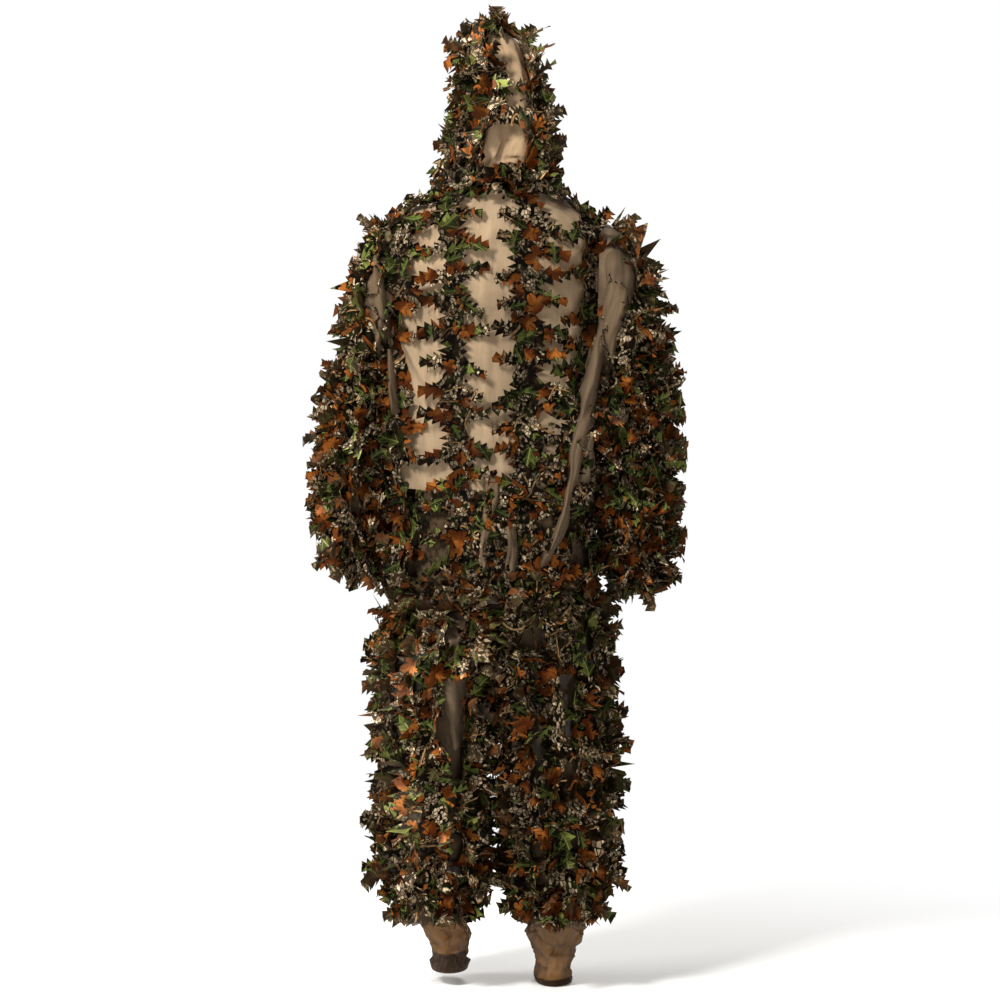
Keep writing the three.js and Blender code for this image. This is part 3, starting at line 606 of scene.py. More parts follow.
# ---------------------------------------------------------------- materials
class Nodes:
    """A short way to write shader maths."""

    def __init__(self, name):
        self.material = bpy.data.materials.new(name)
        self.material.use_nodes = True
        self.tree = self.material.node_tree
        self.tree.nodes.clear()

    def node(self, kind, **settings):
        n = self.tree.nodes.new(kind)
        for key, value in settings.items():
            setattr(n, key, value)
        return n

    def put(self, socket, value):
        if isinstance(value, bpy.types.NodeSocket):
            self.tree.links.new(value, socket)
        elif isinstance(value, (tuple, list)) and socket.type == "RGBA" and len(value) == 3:
            socket.default_value = (*value, 1)
        else:
            socket.default_value = value

    def feed(self, n, *values):
        """Gives values to a node's first inputs."""
        for socket, value in zip(n.inputs, values):
            self.put(socket, value)
        return n.outputs[0]

    def fill(self, n, **inputs):
        for key, value in inputs.items():
            self.put(n.inputs[key], value)
        return n

    def math(self, operation, a, b=0.0, c=0.0, clamp=False):
        return self.feed(self.node("ShaderNodeMath", operation=operation, use_clamp=clamp), a, b, c)

    def add(self, a, b):
        return self.math("ADD", a, b)

    def sub(self, a, b):
        return self.math("SUBTRACT", a, b)

    def mul(self, a, b):
        return self.math("MULTIPLY", a, b)

    def absolute(self, a):
        return self.math("ABSOLUTE", a)

    def vec(self, operation, a, b=(0.0, 0.0, 0.0), scale=1.0):
        n = self.node("ShaderNodeVectorMath", operation=operation)
        self.put(n.inputs[0], a)
        key, value = ("Scale", scale) if operation == "SCALE" else (1, b)
        self.put(n.inputs[key], value)
        return n.outputs["Value"] if operation == "LENGTH" else n.outputs[0]

    def turn(self, vector, angle):
        n = self.node("ShaderNodeVectorRotate", rotation_type="Z_AXIS")
        return self.fill(n, Vector=vector, Angle=angle).outputs[0]

    def mix(self, factor, a, b, blend="MIX"):
        n = self.node("ShaderNodeMix", data_type="RGBA", blend_type=blend)
        for index, value in ((0, factor), (6, a), (7, b)):
            self.put(n.inputs[index], value)
        return n.outputs[2]

    def ramp(self, value, low, high, a=0.0, b=1.0):
        n = self.node("ShaderNodeMapRange", interpolation_type="SMOOTHSTEP")
        return self.feed(n, value, low, high, a, b)

    def noise(self, vector, scale, detail=2.0, rough=0.5, color=False):
        n = self.node("ShaderNodeTexNoise", noise_dimensions="3D")
        self.fill(n, Vector=vector, Scale=scale, Detail=detail, Roughness=rough)
        return n.outputs["Color" if color else "Fac"]

    def cells(self, vector, scale, feature="F1", randomness=1.0):
        n = self.node("ShaderNodeTexVoronoi", voronoi_dimensions="2D", feature=feature)
        return self.fill(n, Vector=vector, Scale=scale, Randomness=randomness)

    def split(self, vector):
        n = self.node("ShaderNodeSeparateXYZ")
        self.put(n.inputs[0], vector)
        return n.outputs

    def uv(self):
        return self.node("ShaderNodeUVMap", uv_map="print_uv").outputs[0]

    def attribute(self, name):
        return self.node("ShaderNodeAttribute", attribute_name=name).outputs["Fac"]

    def bump(self, height, strength, distance):
        n = self.node("ShaderNodeBump")
        return self.fill(n, Strength=strength, Distance=distance, Height=height).outputs[0]

    def translucent(self, color):
        return self.fill(self.node("ShaderNodeBsdfTranslucent"), Color=color).outputs[0]

    def blend(self, factor, a, b):
        return self.feed(self.node("ShaderNodeMixShader"), factor, a, b)

    def surface(self, shader):
        self.fill(self.node("ShaderNodeOutputMaterial"), Surface=shader)
        return self.material

    def principled(self, color, rough, normal=None, metallic=0.0, specular=0.3, sheen=0.0):
        values = {"Base Color": color, "Roughness": rough, "Metallic": metallic, "Sheen Weight": sheen,
                  "Specular IOR Level": specular}
        if normal is not None:
            values["Normal"] = normal
        return self.fill(self.node("ShaderNodeBsdfPrincipled"), **values).outputs[0]


def times(color, share):
    return tuple(min(1, c * share) for c in color)


def print_cells(m, at, scale, seed, fill):
    """Scattered places: turned coordinates about each place, the distance to it, whether it is one of the
    share of places that get filled, and its age, a random number from 0 to 1."""
    shifted = m.vec("ADD", at, (seed * 3.7, seed * 1.3, 0))
    n = m.cells(shifted, scale, randomness=0.85)
    centre = m.vec("SCALE", n.outputs["Position"], scale=scale)
    local = m.vec("SUBTRACT", m.vec("SCALE", shifted, scale=scale), centre)
    numbers = m.split(n.outputs["Color"])
    spun = m.turn(local, m.mul(numbers[0], 6.283))
    size = m.add(m.mul(numbers[1], 0.35), 0.72)
    turned = m.split(m.vec("SCALE", spun, scale=m.math("DIVIDE", 1.0, size)))
    chosen, age = m.math("LESS_THAN", numbers[2], fill), m.math("DIVIDE", numbers[2], fill)
    return turned, m.math("DIVIDE", n.outputs["Distance"], size), chosen, age


def round_leaf(m, at, scale, seed, fill, points=5):
    """A broad leaf with rounded lobes. Returns (inside, veins, which side of the leaf, age)."""
    (x, y, _), distance, chosen, age = print_cells(m, at, scale, seed, fill)
    angle = m.math("ARCTAN2", y, x)
    lobe = m.absolute(m.math("COSINE", m.mul(angle, points / 2)))
    base = m.add(m.mul(m.math("COSINE", angle), 0.08), 0.17)
    radius = m.add(m.mul(m.math("POWER", lobe, 0.7), 0.27), base)
    inside = m.ramp(m.sub(radius, distance), 0.0, 0.02)
    return m.mul(inside, chosen), m.ramp(lobe, 0.988, 1.0), y, age


def oak_leaf(m, at, scale, seed, fill, points=3.0):
    """A long leaf with pointed side lobes that lean towards its tip. Returns the same as round_leaf."""
    (x, y, _), _, chosen, age = print_cells(m, at, scale, seed, fill)
    x, across = m.mul(x, 1.85), m.absolute(y)
    phase = m.mul(m.sub(x, m.mul(across, 1.5)), points / 2)
    wave = m.absolute(m.sub(m.math("FRACT", m.add(phase, 20.25)), 0.5))
    body = m.math("SQRT", m.math("MAXIMUM", m.sub(1.0, m.mul(x, x)), 0.0))
    width = m.mul(body, m.add(m.mul(wave, 0.48), 0.10))
    inside = m.ramp(m.sub(width, across), 0.0, 0.015)
    veins = m.math("MAXIMUM", m.ramp(across, 0.020, 0.008), m.mul(m.ramp(wave, 0.45, 0.49), 0.7))
    return m.mul(inside, chosen), veins, y, age


def leaf_material(name):
    m = Nodes(name)
    uv = m.uv()
    wob = m.vec("SCALE", m.vec("SUBTRACT", m.noise(uv, 26, 2, color=True), (0.5, 0.5, 0.5)), scale=0.010)
    at = m.vec("ADD", uv, wob)
    black = (0.0022, 0.0018, 0.0014)
    # bark: pale flecks with thick black outlines
    squeezed = m.vec("MULTIPLY", at, (1.0, 1.3, 1))
    outline, which = m.cells(squeezed, 140, "DISTANCE_TO_EDGE"), m.cells(squeezed, 140)
    cr, cg, _ = m.split(which.outputs["Color"])
    patches = m.ramp(m.noise(at, 15, 3, 0.6), 0.40, 0.50)
    pale = m.mix(m.math("POWER", cg, 0.9), (0.86, 0.86, 0.80), (0.110, 0.082, 0.052))
    pale = m.mix(m.ramp(m.noise(at, 330, 2), 0.40, 0.7, 0.0, 0.6), pale, (0.070, 0.045, 0.024))
    show = m.mul(m.ramp(outline.outputs["Distance"], 0.07, 0.15), m.math("GREATER_THAN", cr, 0.38))
    ground = m.mix(m.ramp(m.noise(at, 70, 3), 0.45, 0.75), black, (0.040, 0.021, 0.008))
    mossy = m.ramp(m.noise(m.vec("ADD", at, (4.0, 0, 0)), 34, 3), 0.50, 0.62)
    ground = m.mix(mossy, ground, (0.018, 0.026, 0.008))
    color = m.mix(m.mul(show, patches), ground, pale)
    # branches and twigs: long crooked lines
    for turn, scale, wide, tone, edge in ((0.5, 7.5, 0.040, (0.42, 0.155, 0.035), 0.075),
                                          (2.2, 10.0, 0.020, (0.60, 0.47, 0.30), 0.045),
                                          (1.3, 14.0, 0.024, (0.48, 0.35, 0.21), 0.050),
                                          (2.9, 11.0, 0.018, (0.55, 0.40, 0.24), 0.040)):
        spun = m.turn(at, turn)
        bend = m.mul(m.sub(m.noise(spun, 7, 2), 0.5), 1.5)
        along = m.mul(m.split(spun)[1], scale)
        line = m.absolute(m.sub(m.math("FRACT", m.add(along, bend)), 0.5))
        on = m.ramp(m.noise(m.vec("ADD", at, (turn * 9, 0, 0)), 10, 1), 0.48, 0.53)
        color = m.mix(m.mul(on, m.ramp(line, edge, wide)), color, black)
        fibre = m.noise(m.vec("MULTIPLY", spun, (1, 4, 1)), 110, 2)
        shade = m.mix(m.ramp(fibre, 0.35, 0.65), tone, times(tone, 0.35))
        color = m.mix(m.mul(on, m.ramp(line, wide, wide * 0.7)), color, shade)
    # printed leaves, each with a black shadow beside it
    for draw, scale, seed, fill, light, deep, vein_tone in (
            (round_leaf, 28, 2.0, 0.42, (0.37, 0.150, 0.036), (0.100, 0.030, 0.007), (0.035, 0.012, 0.004)),
            (oak_leaf, 17, 1.0, 0.38, (0.205, 0.310, 0.090), (0.028, 0.044, 0.014), (0.36, 0.46, 0.19)),
            (round_leaf, 18, 7.0, 0.38, (0.42, 0.172, 0.042), (0.115, 0.035, 0.007), (0.045, 0.014, 0.004)),
            (oak_leaf, 25, 5.0, 0.30, (0.125, 0.205, 0.060), (0.014, 0.025, 0.009), (0.26, 0.34, 0.15))):
        for offset in ((0.0042, -0.003, 0), (-0.001, 0.0012, 0)):
            under, _, _, _ = draw(m, m.vec("ADD", at, offset), scale, seed, fill)
            color = m.mix(under, color, black)
        inside, vein, half, age = draw(m, at, scale, seed, fill)
        body = m.mix(m.ramp(half, -0.10, 0.10), light, deep)
        body = m.mix(m.mul(m.math("POWER", age, 2.0), 0.75), body, deep)
        body = m.mix(m.ramp(m.noise(at, 60, 3), 0.35, 0.70, 0.0, 0.75), body, deep)
        body = m.mix(m.mul(vein, 0.8), body, vein_tone)
        color = m.mix(inside, color, body)
    color = m.mix(1.0, color, (0.96, 0.75, 0.52), "MULTIPLY")
    # some lobes are in a darker print, some have faded; the right leg's lobes are darker as painted shade
    tint = m.attribute("tint")
    color = m.mix(m.ramp(tint, 0.0, 0.75, 0.66, 0.0), color, black)
    faded = m.mix(0.10, m.vec("SCALE", color, scale=1.9), (0.52, 0.43, 0.31))
    color = m.mix(m.ramp(tint, 0.80, 0.94), color, faded)
    geometry = m.node("ShaderNodeNewGeometry")
    reverse = m.mix(0.25, color, (0.13, 0.083, 0.042))
    color = m.mix(geometry.outputs["Backfacing"], color, reverse)
    weave = m.noise(uv, 900, 1)
    normal = m.bump(m.add(weave, m.mul(m.noise(uv, 90, 3), 2.0)), 0.35, 0.0015)
    cloth = m.principled(color, 0.85, normal, specular=0.04)
    glow = m.translucent(m.mix(0.10, color, (0.40, 0.26, 0.12)))
    return m.surface(m.blend(0.12, cloth, glow))


THREADS = 5200      # how fast the weave's waves run, in radians per metre of cloth


def mesh_material(name, color, alpha, streak=0.25, painted_shade_below=None):
    """Sheer woven mesh: part of the light passes, and threads and folds show as fine streaks,
    partly painted shade in the folds. Painted shade darkens the cloth where it turns away from the view.
    Below the height given last, the cloth is painted dark: painted shade of the inside showing through."""
    m = Nodes(name)
    uv = m.uv()
    stretched = m.vec("MULTIPLY", uv, (1.0, 0.12, 1.0))
    lines = m.noise(stretched, 130, 4, 0.6)
    blotch = m.noise(uv, 7, 3)
    # the streaks are partly the threads' own unevenness and partly painted shade in fine folds
    shade = m.mix(m.ramp(lines, 0.35, 0.7), color, times(color, 1 - streak))
    shade = m.mix(m.ramp(blotch, 0.35, 0.70, 0.0, 0.6), shade, times(color, 0.66))
    # painted shade: the cloth is drawn darker where it turns away from the view, at its sides and bulges'
    # edges
    turned = m.node("ShaderNodeLayerWeight", name="turned away painted shade")
    turned.inputs["Blend"].default_value = 0.5
    shade = m.mix(m.ramp(turned.outputs["Facing"], 0.10, 0.80, 0.0, 0.75), shade, times(color, 0.38))
    ux, uy, _ = m.split(uv)
    # painted shade: below the height the cloth is drawn dark and mottled, as the shaded inside showing
    # through it
    if painted_shade_below:
        rough_edge = m.add(uy, m.mul(m.sub(m.noise(uv, 12, 3), 0.5), 0.012))
        mottle = m.ramp(m.noise(m.vec("MULTIPLY", uv, (1.0, 0.6, 1.0)), 120, 4, 0.65), 0.30, 0.70, 0.06, 0.19)
        seen = m.mix(mottle, (0.004, 0.003, 0.002), (color[0], color[1] * 0.88, color[2] * 0.70))
        shade = m.mix(m.ramp(rough_edge, painted_shade_below - 0.003, painted_shade_below + 0.001), seen, shade)
    warp, weft = (m.math("SINE", m.mul(x, THREADS)) for x in (ux, uy))
    thread = m.mul(warp, weft)
    normal = m.bump(m.add(m.mul(thread, 0.5), m.mul(lines, 2.0)), 0.3, 0.001)
    cloth = m.principled(shade, 0.8, normal, specular=0.12, sheen=0.05)
    solid = m.blend(0.35, cloth, m.translucent(shade))
    clear = m.node("ShaderNodeBsdfTransparent").outputs[0]
    return m.surface(m.blend(m.ramp(lines, 0.2, 0.8, alpha - 0.08, alpha + 0.06), clear, solid))


def band_material(name, color, rib=420.0):
    """Ribbed elastic, tape or braid."""
    m = Nodes(name)
    uv = m.uv()
    ribs = m.math("SINE", m.mul(m.split(uv)[0], rib * TAU))
    grain = m.noise(uv, 400, 2)
    dark = m.math("ADD", m.mul(ribs, 0.25), m.mul(grain, 0.5), clamp=True)
    shade = m.mix(dark, color, times(color, 0.5))
    normal = m.bump(m.add(ribs, grain), 0.5, 0.0006)
    return m.surface(m.principled(shade, 0.8, normal, specular=0.2, sheen=0.1))


def hard_material(name, color, rough, metallic=0.0, scale=600.0):
    """Worn plastic or metal."""
    m = Nodes(name)
    where = m.node("ShaderNodeTexCoord").outputs["Object"]
    wear = m.noise(where, scale, 3)
    shade = m.mix(m.ramp(wear, 0.4, 0.7, 0.0, 0.5), color, times(color, 1.6))
    rough = m.ramp(wear, 0.3, 0.7, rough, min(1, rough + 0.15))
    return m.surface(m.principled(shade, rough, m.bump(wear, 0.2, 0.0003), metallic, 0.5))


LEAF = leaf_material("leaf_print")
JACKET_MESH = mesh_material("jacket_mesh", (0.58, 0.415, 0.255), 0.92, painted_shade_below=WAIST_SHADE_TOP)
HOOD_MESH = mesh_material("hood_mesh", (0.63, 0.44, 0.26), 1.06)
SLEEVE_MESH = mesh_material("sleeve_mesh", (0.31, 0.215, 0.130), 0.90)
# the loose folds are the same tan mesh, drawn darker than the jacket: painted shade
SHADED_FOLD_MESH = mesh_material("shaded_fold_mesh", (0.29, 0.198, 0.118), 0.76, 0.45)
# the trousers are the same tan mesh, drawn much darker: painted shade
SHADED_TROUSER_MESH = mesh_material("shaded_trouser_mesh", (0.13, 0.085, 0.048), 0.90)
# the right foot is drawn darker than the left: painted shade on the side away from the key light
FOOT_MESH = {"left": mesh_material("left_foot_mesh", (0.35, 0.175, 0.062), 0.90, painted_shade_below=0.061),
             "right": mesh_material("right_foot_mesh_shaded", (0.28, 0.142, 0.052), 0.86, painted_shade_below=0.014)}
ELASTIC = band_material("elastic_band", (0.16, 0.12, 0.08))
BINDING = band_material("binding_tape", (0.36, 0.27, 0.18), 900)
CORD = band_material("braided_cord", (0.06, 0.05, 0.038), 700)
LOCK = hard_material("lock_plastic", (0.016, 0.016, 0.015), 0.42)
ZIP = hard_material("zip_metal", (0.20, 0.16, 0.10), 0.38, 0.95, 300)

# ---------------------------------------------------------------- build the garments
sheets = {"torso": torso(), "seat": seat(), "hood": hood()}
for word, side in SIDES.items():
    sheets[word + "_sleeve"] = sleeve(side)
    sheets[word + "_leg"] = leg(side)
    sheets[word + "_foot"] = foot(side)


SHEER_CLOTH = dict(quality=5, mass=0.12, tension_stiffness=10, compression_stiffness=10, shear_stiffness=3,
                   bending_stiffness=0.02, air_damping=3, pin_stiffness=1)


def spread(rows, places, count):
    """Values known at some places of each row, for all count places."""
    every = np.arange(count)
    return np.stack([[np.interp(every, places, row[:, k]) for row in rows] for k in range(3)], -1)


def drape(jobs, frames):
    """Cloth simulation: each garment, a little larger than the wearer, sags and creases over the wearer.
    A job is (sheet, rows, columns, ease, room, held); held is the share of each end that stays in place."""
    scene = bpy.context.scene
    made = []
    for sheet, rows, columns, ease, room, held in jobs:
        r = np.linspace(0, sheet.nv - 1, rows).round().astype(int)
        c = np.linspace(0, sheet.nu - 1, columns).round().astype(int)
        if sheet.closed:
            c = np.arange(columns) * sheet.nu // columns
        start = sheet.P[np.ix_(r, c)]
        inner = (sheet.P - sheet.normals() * room)[np.ix_(r, c)]
        quads = grid_faces(rows, columns, sheet.closed, sheet.sign > 0)
        wearer = mesh_object("wearer", inner, quads, CORD)
        wearer.modifiers.new("collision", "COLLISION")
        wearer.collision.thickness_outer = 0.002
        wearer.collision.cloth_friction = 8
        obj = mesh_object("draped", start, quads, CORD)
        pin = obj.vertex_groups.new(name="held")
        v = np.repeat(np.linspace(0, 1, rows), columns)
        weight = np.maximum(smooth(v, held[0], held[0] * 0.5), smooth(v, 1 - held[1], 1 - held[1] * 0.5))
        if not sheet.closed:
            s = np.tile(np.linspace(0, 1, columns), rows)
            weight = np.maximum(weight, smooth(np.minimum(s, 1 - s), 0.08, 0.02))
        for index, w in enumerate(weight):
            if w > 0.01:
                pin.add([index], float(w), "REPLACE")
        cloth = obj.modifiers.new("cloth", "CLOTH")
        for setting, value in SHEER_CLOTH.items():
            setattr(cloth.settings, setting, value)
        cloth.settings.shrink_min = -ease
        cloth.settings.vertex_group_mass = "held"
        cloth.collision_settings.distance_min = 0.003
        cloth.collision_settings.use_self_collision = False
        cloth.point_cache.frame_start, cloth.point_cache.frame_end = 1, frames
        made.append((sheet, obj, wearer, r, c, start))
    for frame_number in range(1, frames + 1):
        scene.frame_set(frame_number)
    depsgraph = bpy.context.evaluated_depsgraph_get()
    for sheet, obj, wearer, r, c, start in made:
        result = np.empty(len(obj.data.vertices) * 3)
        obj.evaluated_get(depsgraph).data.vertices.foreach_get("co", result)
        moved = result.reshape(start.shape) - start
        moved *= np.minimum(1, LARGEST_SAG / np.maximum(np.linalg.norm(moved, axis=-1, keepdims=True), 1e-9))
        if sheet.closed:
            moved, c = np.concatenate([moved, moved[:, :1]], 1), np.append(c, sheet.nu)
        wide = spread(moved, c, sheet.nu)
        full = np.moveaxis(spread(np.moveaxis(wide, 0, 1), r, sheet.nv), 0, 1)
        for _ in range(2):  # rounds off the coarse grid's corners
            sides = (np.roll(full, 1, 1) + np.roll(full, -1, 1)) / 2 if sheet.closed else full
            full[1:-1] = full[1:-1] * 0.4 + 0.3 * (full[2:] + full[:-2])
            full = full * 0.5 + sides * 0.5
        sheet.P = sheet.P + full
    scene.frame_set(1)
    for _, obj, wearer, _, _, _ in made:
        for item in (obj, wearer):
            data = item.data
            bpy.data.objects.remove(item)
            bpy.data.meshes.remove(data)


jobs = [(sheets["torso"], 56, 80, 0.045, 0.012, (0.10, 0.03)),
        (sheets["hood"], 40, 50, 0.03, 0.006, (0.08, 0.25))]
for word in SIDES:
    jobs.append((sheets[word + "_sleeve"], 60, 40, 0.05, 0.012, (0.12, 0.03)))
    jobs.append((sheets[word + "_leg"], 44, 44, 0.06, 0.014, (0.14, 0.03)))
    jobs.append((sheets[word + "_foot"], 22, 48, 0.20, 0.018, (0.08, 0.16)))
drape(jobs, CLOTH_FRAMES)

# the cloth beside the zip lies flat behind its tapes
P = sheets["torso"].P
beside_zip = smooth(0.055 - np.abs(P[..., 0]), 0, 0.028) * (P[..., 1] < 0) * smooth(P[..., 2], 1.39, 1.34)
P[..., 1] += (BEHIND_ZIP - P[..., 1]) * beside_zip
for word in SIDES:  # the soles close the feet
    F = sheets[word + "_foot"]
    edge, centre = F.P[-1], F.P[-1].mean(0)
    F.P = np.concatenate([F.P] + [(centre + (edge - centre) * share)[None] for share in (0.8, 0.5, 0.02)])
    F.nv = len(F.P)

HOOD_BEND = ("jacket", "hood", (0, 0, 1.485), (0, 0, 1.60))


def attach(obj, bodies, replaces=()):
    """Puts a piece on its body, or bakes in the transform of one across two bodies.
    Hides the CAD nodes it stands for.
    """
    if len(bodies) == 1:
        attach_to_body(obj, bodies[0])
    else:
        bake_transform(obj)
    if replaces:
        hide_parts(*replaces)


def shoulder_bend(word):
    """Across the armhole, which slants outwards and down."""
    start, end = ((SIDES[word] * 0.6 * -far, 0, 0.8 * far) for far in (0.990, 0.820))
    return ("jacket", word + "_upper_arm", start, end)


def level_bend(upper, lower, top, bottom):
    """Between the heights top and bottom."""
    return (upper, lower, (0, 0, top), (0, 0, bottom))


def elbow_bend(word):
    return level_bend(word + "_upper_arm", word + "_forearm", 1.110, 0.986)


def hip_bend(word):
    return level_bend("trousers", word + "_thigh", 0.702, 0.575)


def knee_bend(word):
    return level_bend(word + "_thigh", word + "_shin", 0.500, 0.360)


def sheer(name, sheet, material, bodies, nodes, **part):
    attach(cloth_piece(name, sheet, material, **part), bodies, nodes)


T = sheets["torso"]
quarter = T.nu // 4
for name, node, first, last in (("jacket_back", "jacket_back_panel", 0, 2),
                                ("jacket_front_left_cloth", "jacket_front_left", 3, 4),
                                ("jacket_front_right_cloth", "jacket_front_right", 2, 3)):
    sheer(name, T, JACKET_MESH, ("jacket",), (node,), columns=(first * quarter, last * quarter))
sheer("hood_cloth", sheets["hood"], HOOD_MESH, HOOD_BEND,
      ("hood_left_panel", "hood_right_panel", "hood_collar"))
sheer("trousers_seat", sheets["seat"], SHADED_TROUSER_MESH, ("trousers",),
      ("trousers_seat_left", "trousers_seat_right"))
for word in SIDES:
    S, G, F = sheets[word + "_sleeve"], sheets[word + "_leg"], sheets[word + "_foot"]
    cut = int(np.argmin(np.abs(S.P[:, :, 2].mean(1) - SLEEVE_SEAM)))
    sheer(word + "_shoulder_cloth", S, SLEEVE_MESH, shoulder_bend(word), (word + "_upper_sleeve",),
          rows=(0, cut + 1))
    sheer(word + "_elbow_cloth", S, SLEEVE_MESH, elbow_bend(word), (word + "_forearm_sleeve",),
          rows=(cut, S.nv))
    split = int(np.argmin(np.abs(G.P[:, 0, 2] - LEG_SEAM)))
    # not the wall between the legs above the crotch
    inner = (np.abs(G.P[..., 0]) > 0.0042) | (G.P[..., 2] < 0.664)
    sheer(word + "_hip_cloth", G, SHADED_TROUSER_MESH, hip_bend(word), (word + "_thigh_leg",), rows=(0, split + 1),
          keep=inner)
    sheer(word + "_knee_cloth", G, SHADED_TROUSER_MESH, knee_bend(word), (word + "_shin_leg",), rows=(split, G.nv))
    sheer(word + "_foot_cloth", F, FOOT_MESH[word], (word + "_shin",), (word + "_leg_end",))

# ---------------------------------------------------------------- loose folds of sheer cloth
def surface_below(*garments):
    """The highest surface, towards the back, of some sheets together."""
    points, faces = [], []
    for sheet in garments:
        start = len(points)
        points += [tuple(p) for p in sheet.P.reshape(-1, 3)]
        quads = grid_faces(sheet.nv, sheet.nu, sheet.closed, False) + start
        faces += [tuple(f) for f in quads.tolist()]
    return BVHTree.FromPolygons(points, faces)


def loose_fold(name, below, path, height, bodies, ride_height=0.012, material=SHADED_FOLD_MESH):
    """A fold of cloth over the leaves, along a path of (z, x, half width), with its edges tucked in."""
    rows, columns = 110, 15
    z = np.linspace(path[0][0], path[-1][0], rows)
    x, half = curve(path, z)
    x = x + 0.004 * line_noise(z, 0.050, path[0][1] * 50 + 4)
    half = half * (1 + 0.26 * line_noise(z, 0.045, path[0][1] * 50))
    q = np.linspace(-1, 1, columns)
    X, Z = x[:, None] + q * half[:, None], z[:, None] + 0 * q
    Y = np.full(X.shape, np.nan)
    for index in np.ndindex(X.shape):
        hit = below.ray_cast(Vector((X[index], 1.0, Z[index])), Vector((0, -1, 0)))[0]
        if hit is not None:
            Y[index] = hit.y
    Y = np.where(np.isnan(Y), np.nanmin(Y), Y)
    for _ in range(14):
        Y[1:-1] = (Y[2:] + Y[:-2] + 2 * Y[1:-1]) / 4
    ends = smooth(np.linspace(0, 1, rows), 0, 0.10) * smooth(np.linspace(1, 0, rows), 0, 0.10)
    crown = (1 - np.abs(q) ** 3) * ends[:, None]
    place = np.stack([q * 1.4 + 0 * Z, Z / 0.11, 0 * Z + path[0][1] * 9], -1)
    creases = 0.0060 * noise(place / 0.60, 1.0) + 0.0036 * noise(place / 0.26, 1.0, 3)
    Y = Y - 0.004 + (ride_height + height) * crown + creases * crown
    P = np.stack([X + 0.003 * noise(place, 1.0, 7), Y, Z], -1)
    uv = np.stack([distances(P) + 0 * Z, Z], -1)
    attach(mesh_object(name, P, grid_faces(rows, columns, False, True), material, uv), bodies)


for word, path in ARMHOLE_FOLDS.items():
    loose_fold(word + "_armhole_fold", surface_below(T, sheets[word + "_sleeve"]), path, 0.008, ("jacket",),
               0.020)
for word, path in BACK_FOLDS.items():
    loose_fold(word + "_fold", surface_below(T), path, 0.006, ("jacket",), 0.014)
loose_fold("thigh_fold", surface_below(sheets["left_leg"]),
           [(0.672, 0.078, 0.020), (0.600, 0.072, 0.026), (0.520, 0.070, 0.022), (0.440, 0.066, 0.014)],
           0.004, hip_bend("left"), 0.006, SLEEVE_MESH)

# ---------------------------------------------------------------- leaf strips
leaf_sets = {}


def bag(name):
    return leaf_sets.setdefault(name, Leaves())


def one(name):
    return lambda z, x: bag(name)


def uv_of(sheet, x=None, z=None, sense=1):
    """Grid coordinates of the torso or hood at a height and an x, on the back (sense 1) or the front (-1)."""
    v = float(np.interp(-z, -sheet.P[:, 0, 2], np.linspace(0, 1, sheet.nv)))
    row = sheet.P[int(round(v * (sheet.nv - 1)))]
    score = np.abs(row[:, 0] - x) + 10 * (np.sign(row[:, 1]) != sense)
    i = int(np.argmin(score))
    return (i / sheet.nu if sheet.closed else i / (sheet.nu - 1), v)


def path_on(sheet, points, sense=1):
    return [uv_of(sheet, x, z, sense) for x, z in points]


# points (x, z) from the top down, lengths of the lobes towards +X and towards -X, half width of the strip
BACK = [
    ([(0.150, 1.425), (0.172, 1.34), (0.180, 1.20), (0.176, 1.05), (0.166, 0.90), (0.160, HEM)],
     ((0.050, 0.064), (0.050, 0.068)), 0.025),
    ([(0.060, 1.482), (0.070, 1.38), (0.071, 1.20), (0.068, 1.05), (0.062, 0.90), (0.054, HEM)],
     ((0.062, 0.082), (0.054, 0.070)), 0.021),
    ([(-0.040, 1.484), (-0.056, 1.38), (-0.055, 1.20), (-0.052, 1.05), (-0.050, 0.90), (-0.040, HEM)],
     ((0.054, 0.072), (0.064, 0.082)), 0.026),
    ([(-0.150, 1.420), (-0.172, 1.34), (-0.164, 1.22), (-0.148, 1.08), (-0.122, 0.92), (-0.104, HEM)],
     ((0.064, 0.082), (0.046, 0.060)), 0.023),
]
FLAT = dict(pitch=0.054, width=0.0175, lift=(1, 10), curl=(-10, 10), yaw=11, twist=12, droop=0.03, gap=0.004,
            faded=0.55, loose=False)
for k, (points, length, trunk) in enumerate(BACK):
    strip(T, path_on(T, points), one(f"back_leaves_{k + 1}"), length=length, trunk=trunk, **FLAT)
FRONT = [
    [(0.158, 1.39), (0.162, 1.20), (0.158, 0.95), (0.152, HEM)],
    [(0.080, 1.43), (0.084, 1.20), (0.080, 0.95), (0.078, HEM)],
    [(-0.080, 1.43), (-0.084, 1.20), (-0.080, 0.95), (-0.078, HEM)],
    [(-0.158, 1.39), (-0.162, 1.20), (-0.158, 0.95), (-0.152, HEM)],
]
for k, points in enumerate(FRONT):
    strip(T, path_on(T, points, -1), one(f"front_leaves_{k + 1}"), length=(0.050, 0.068), trunk=0.023, **FLAT)
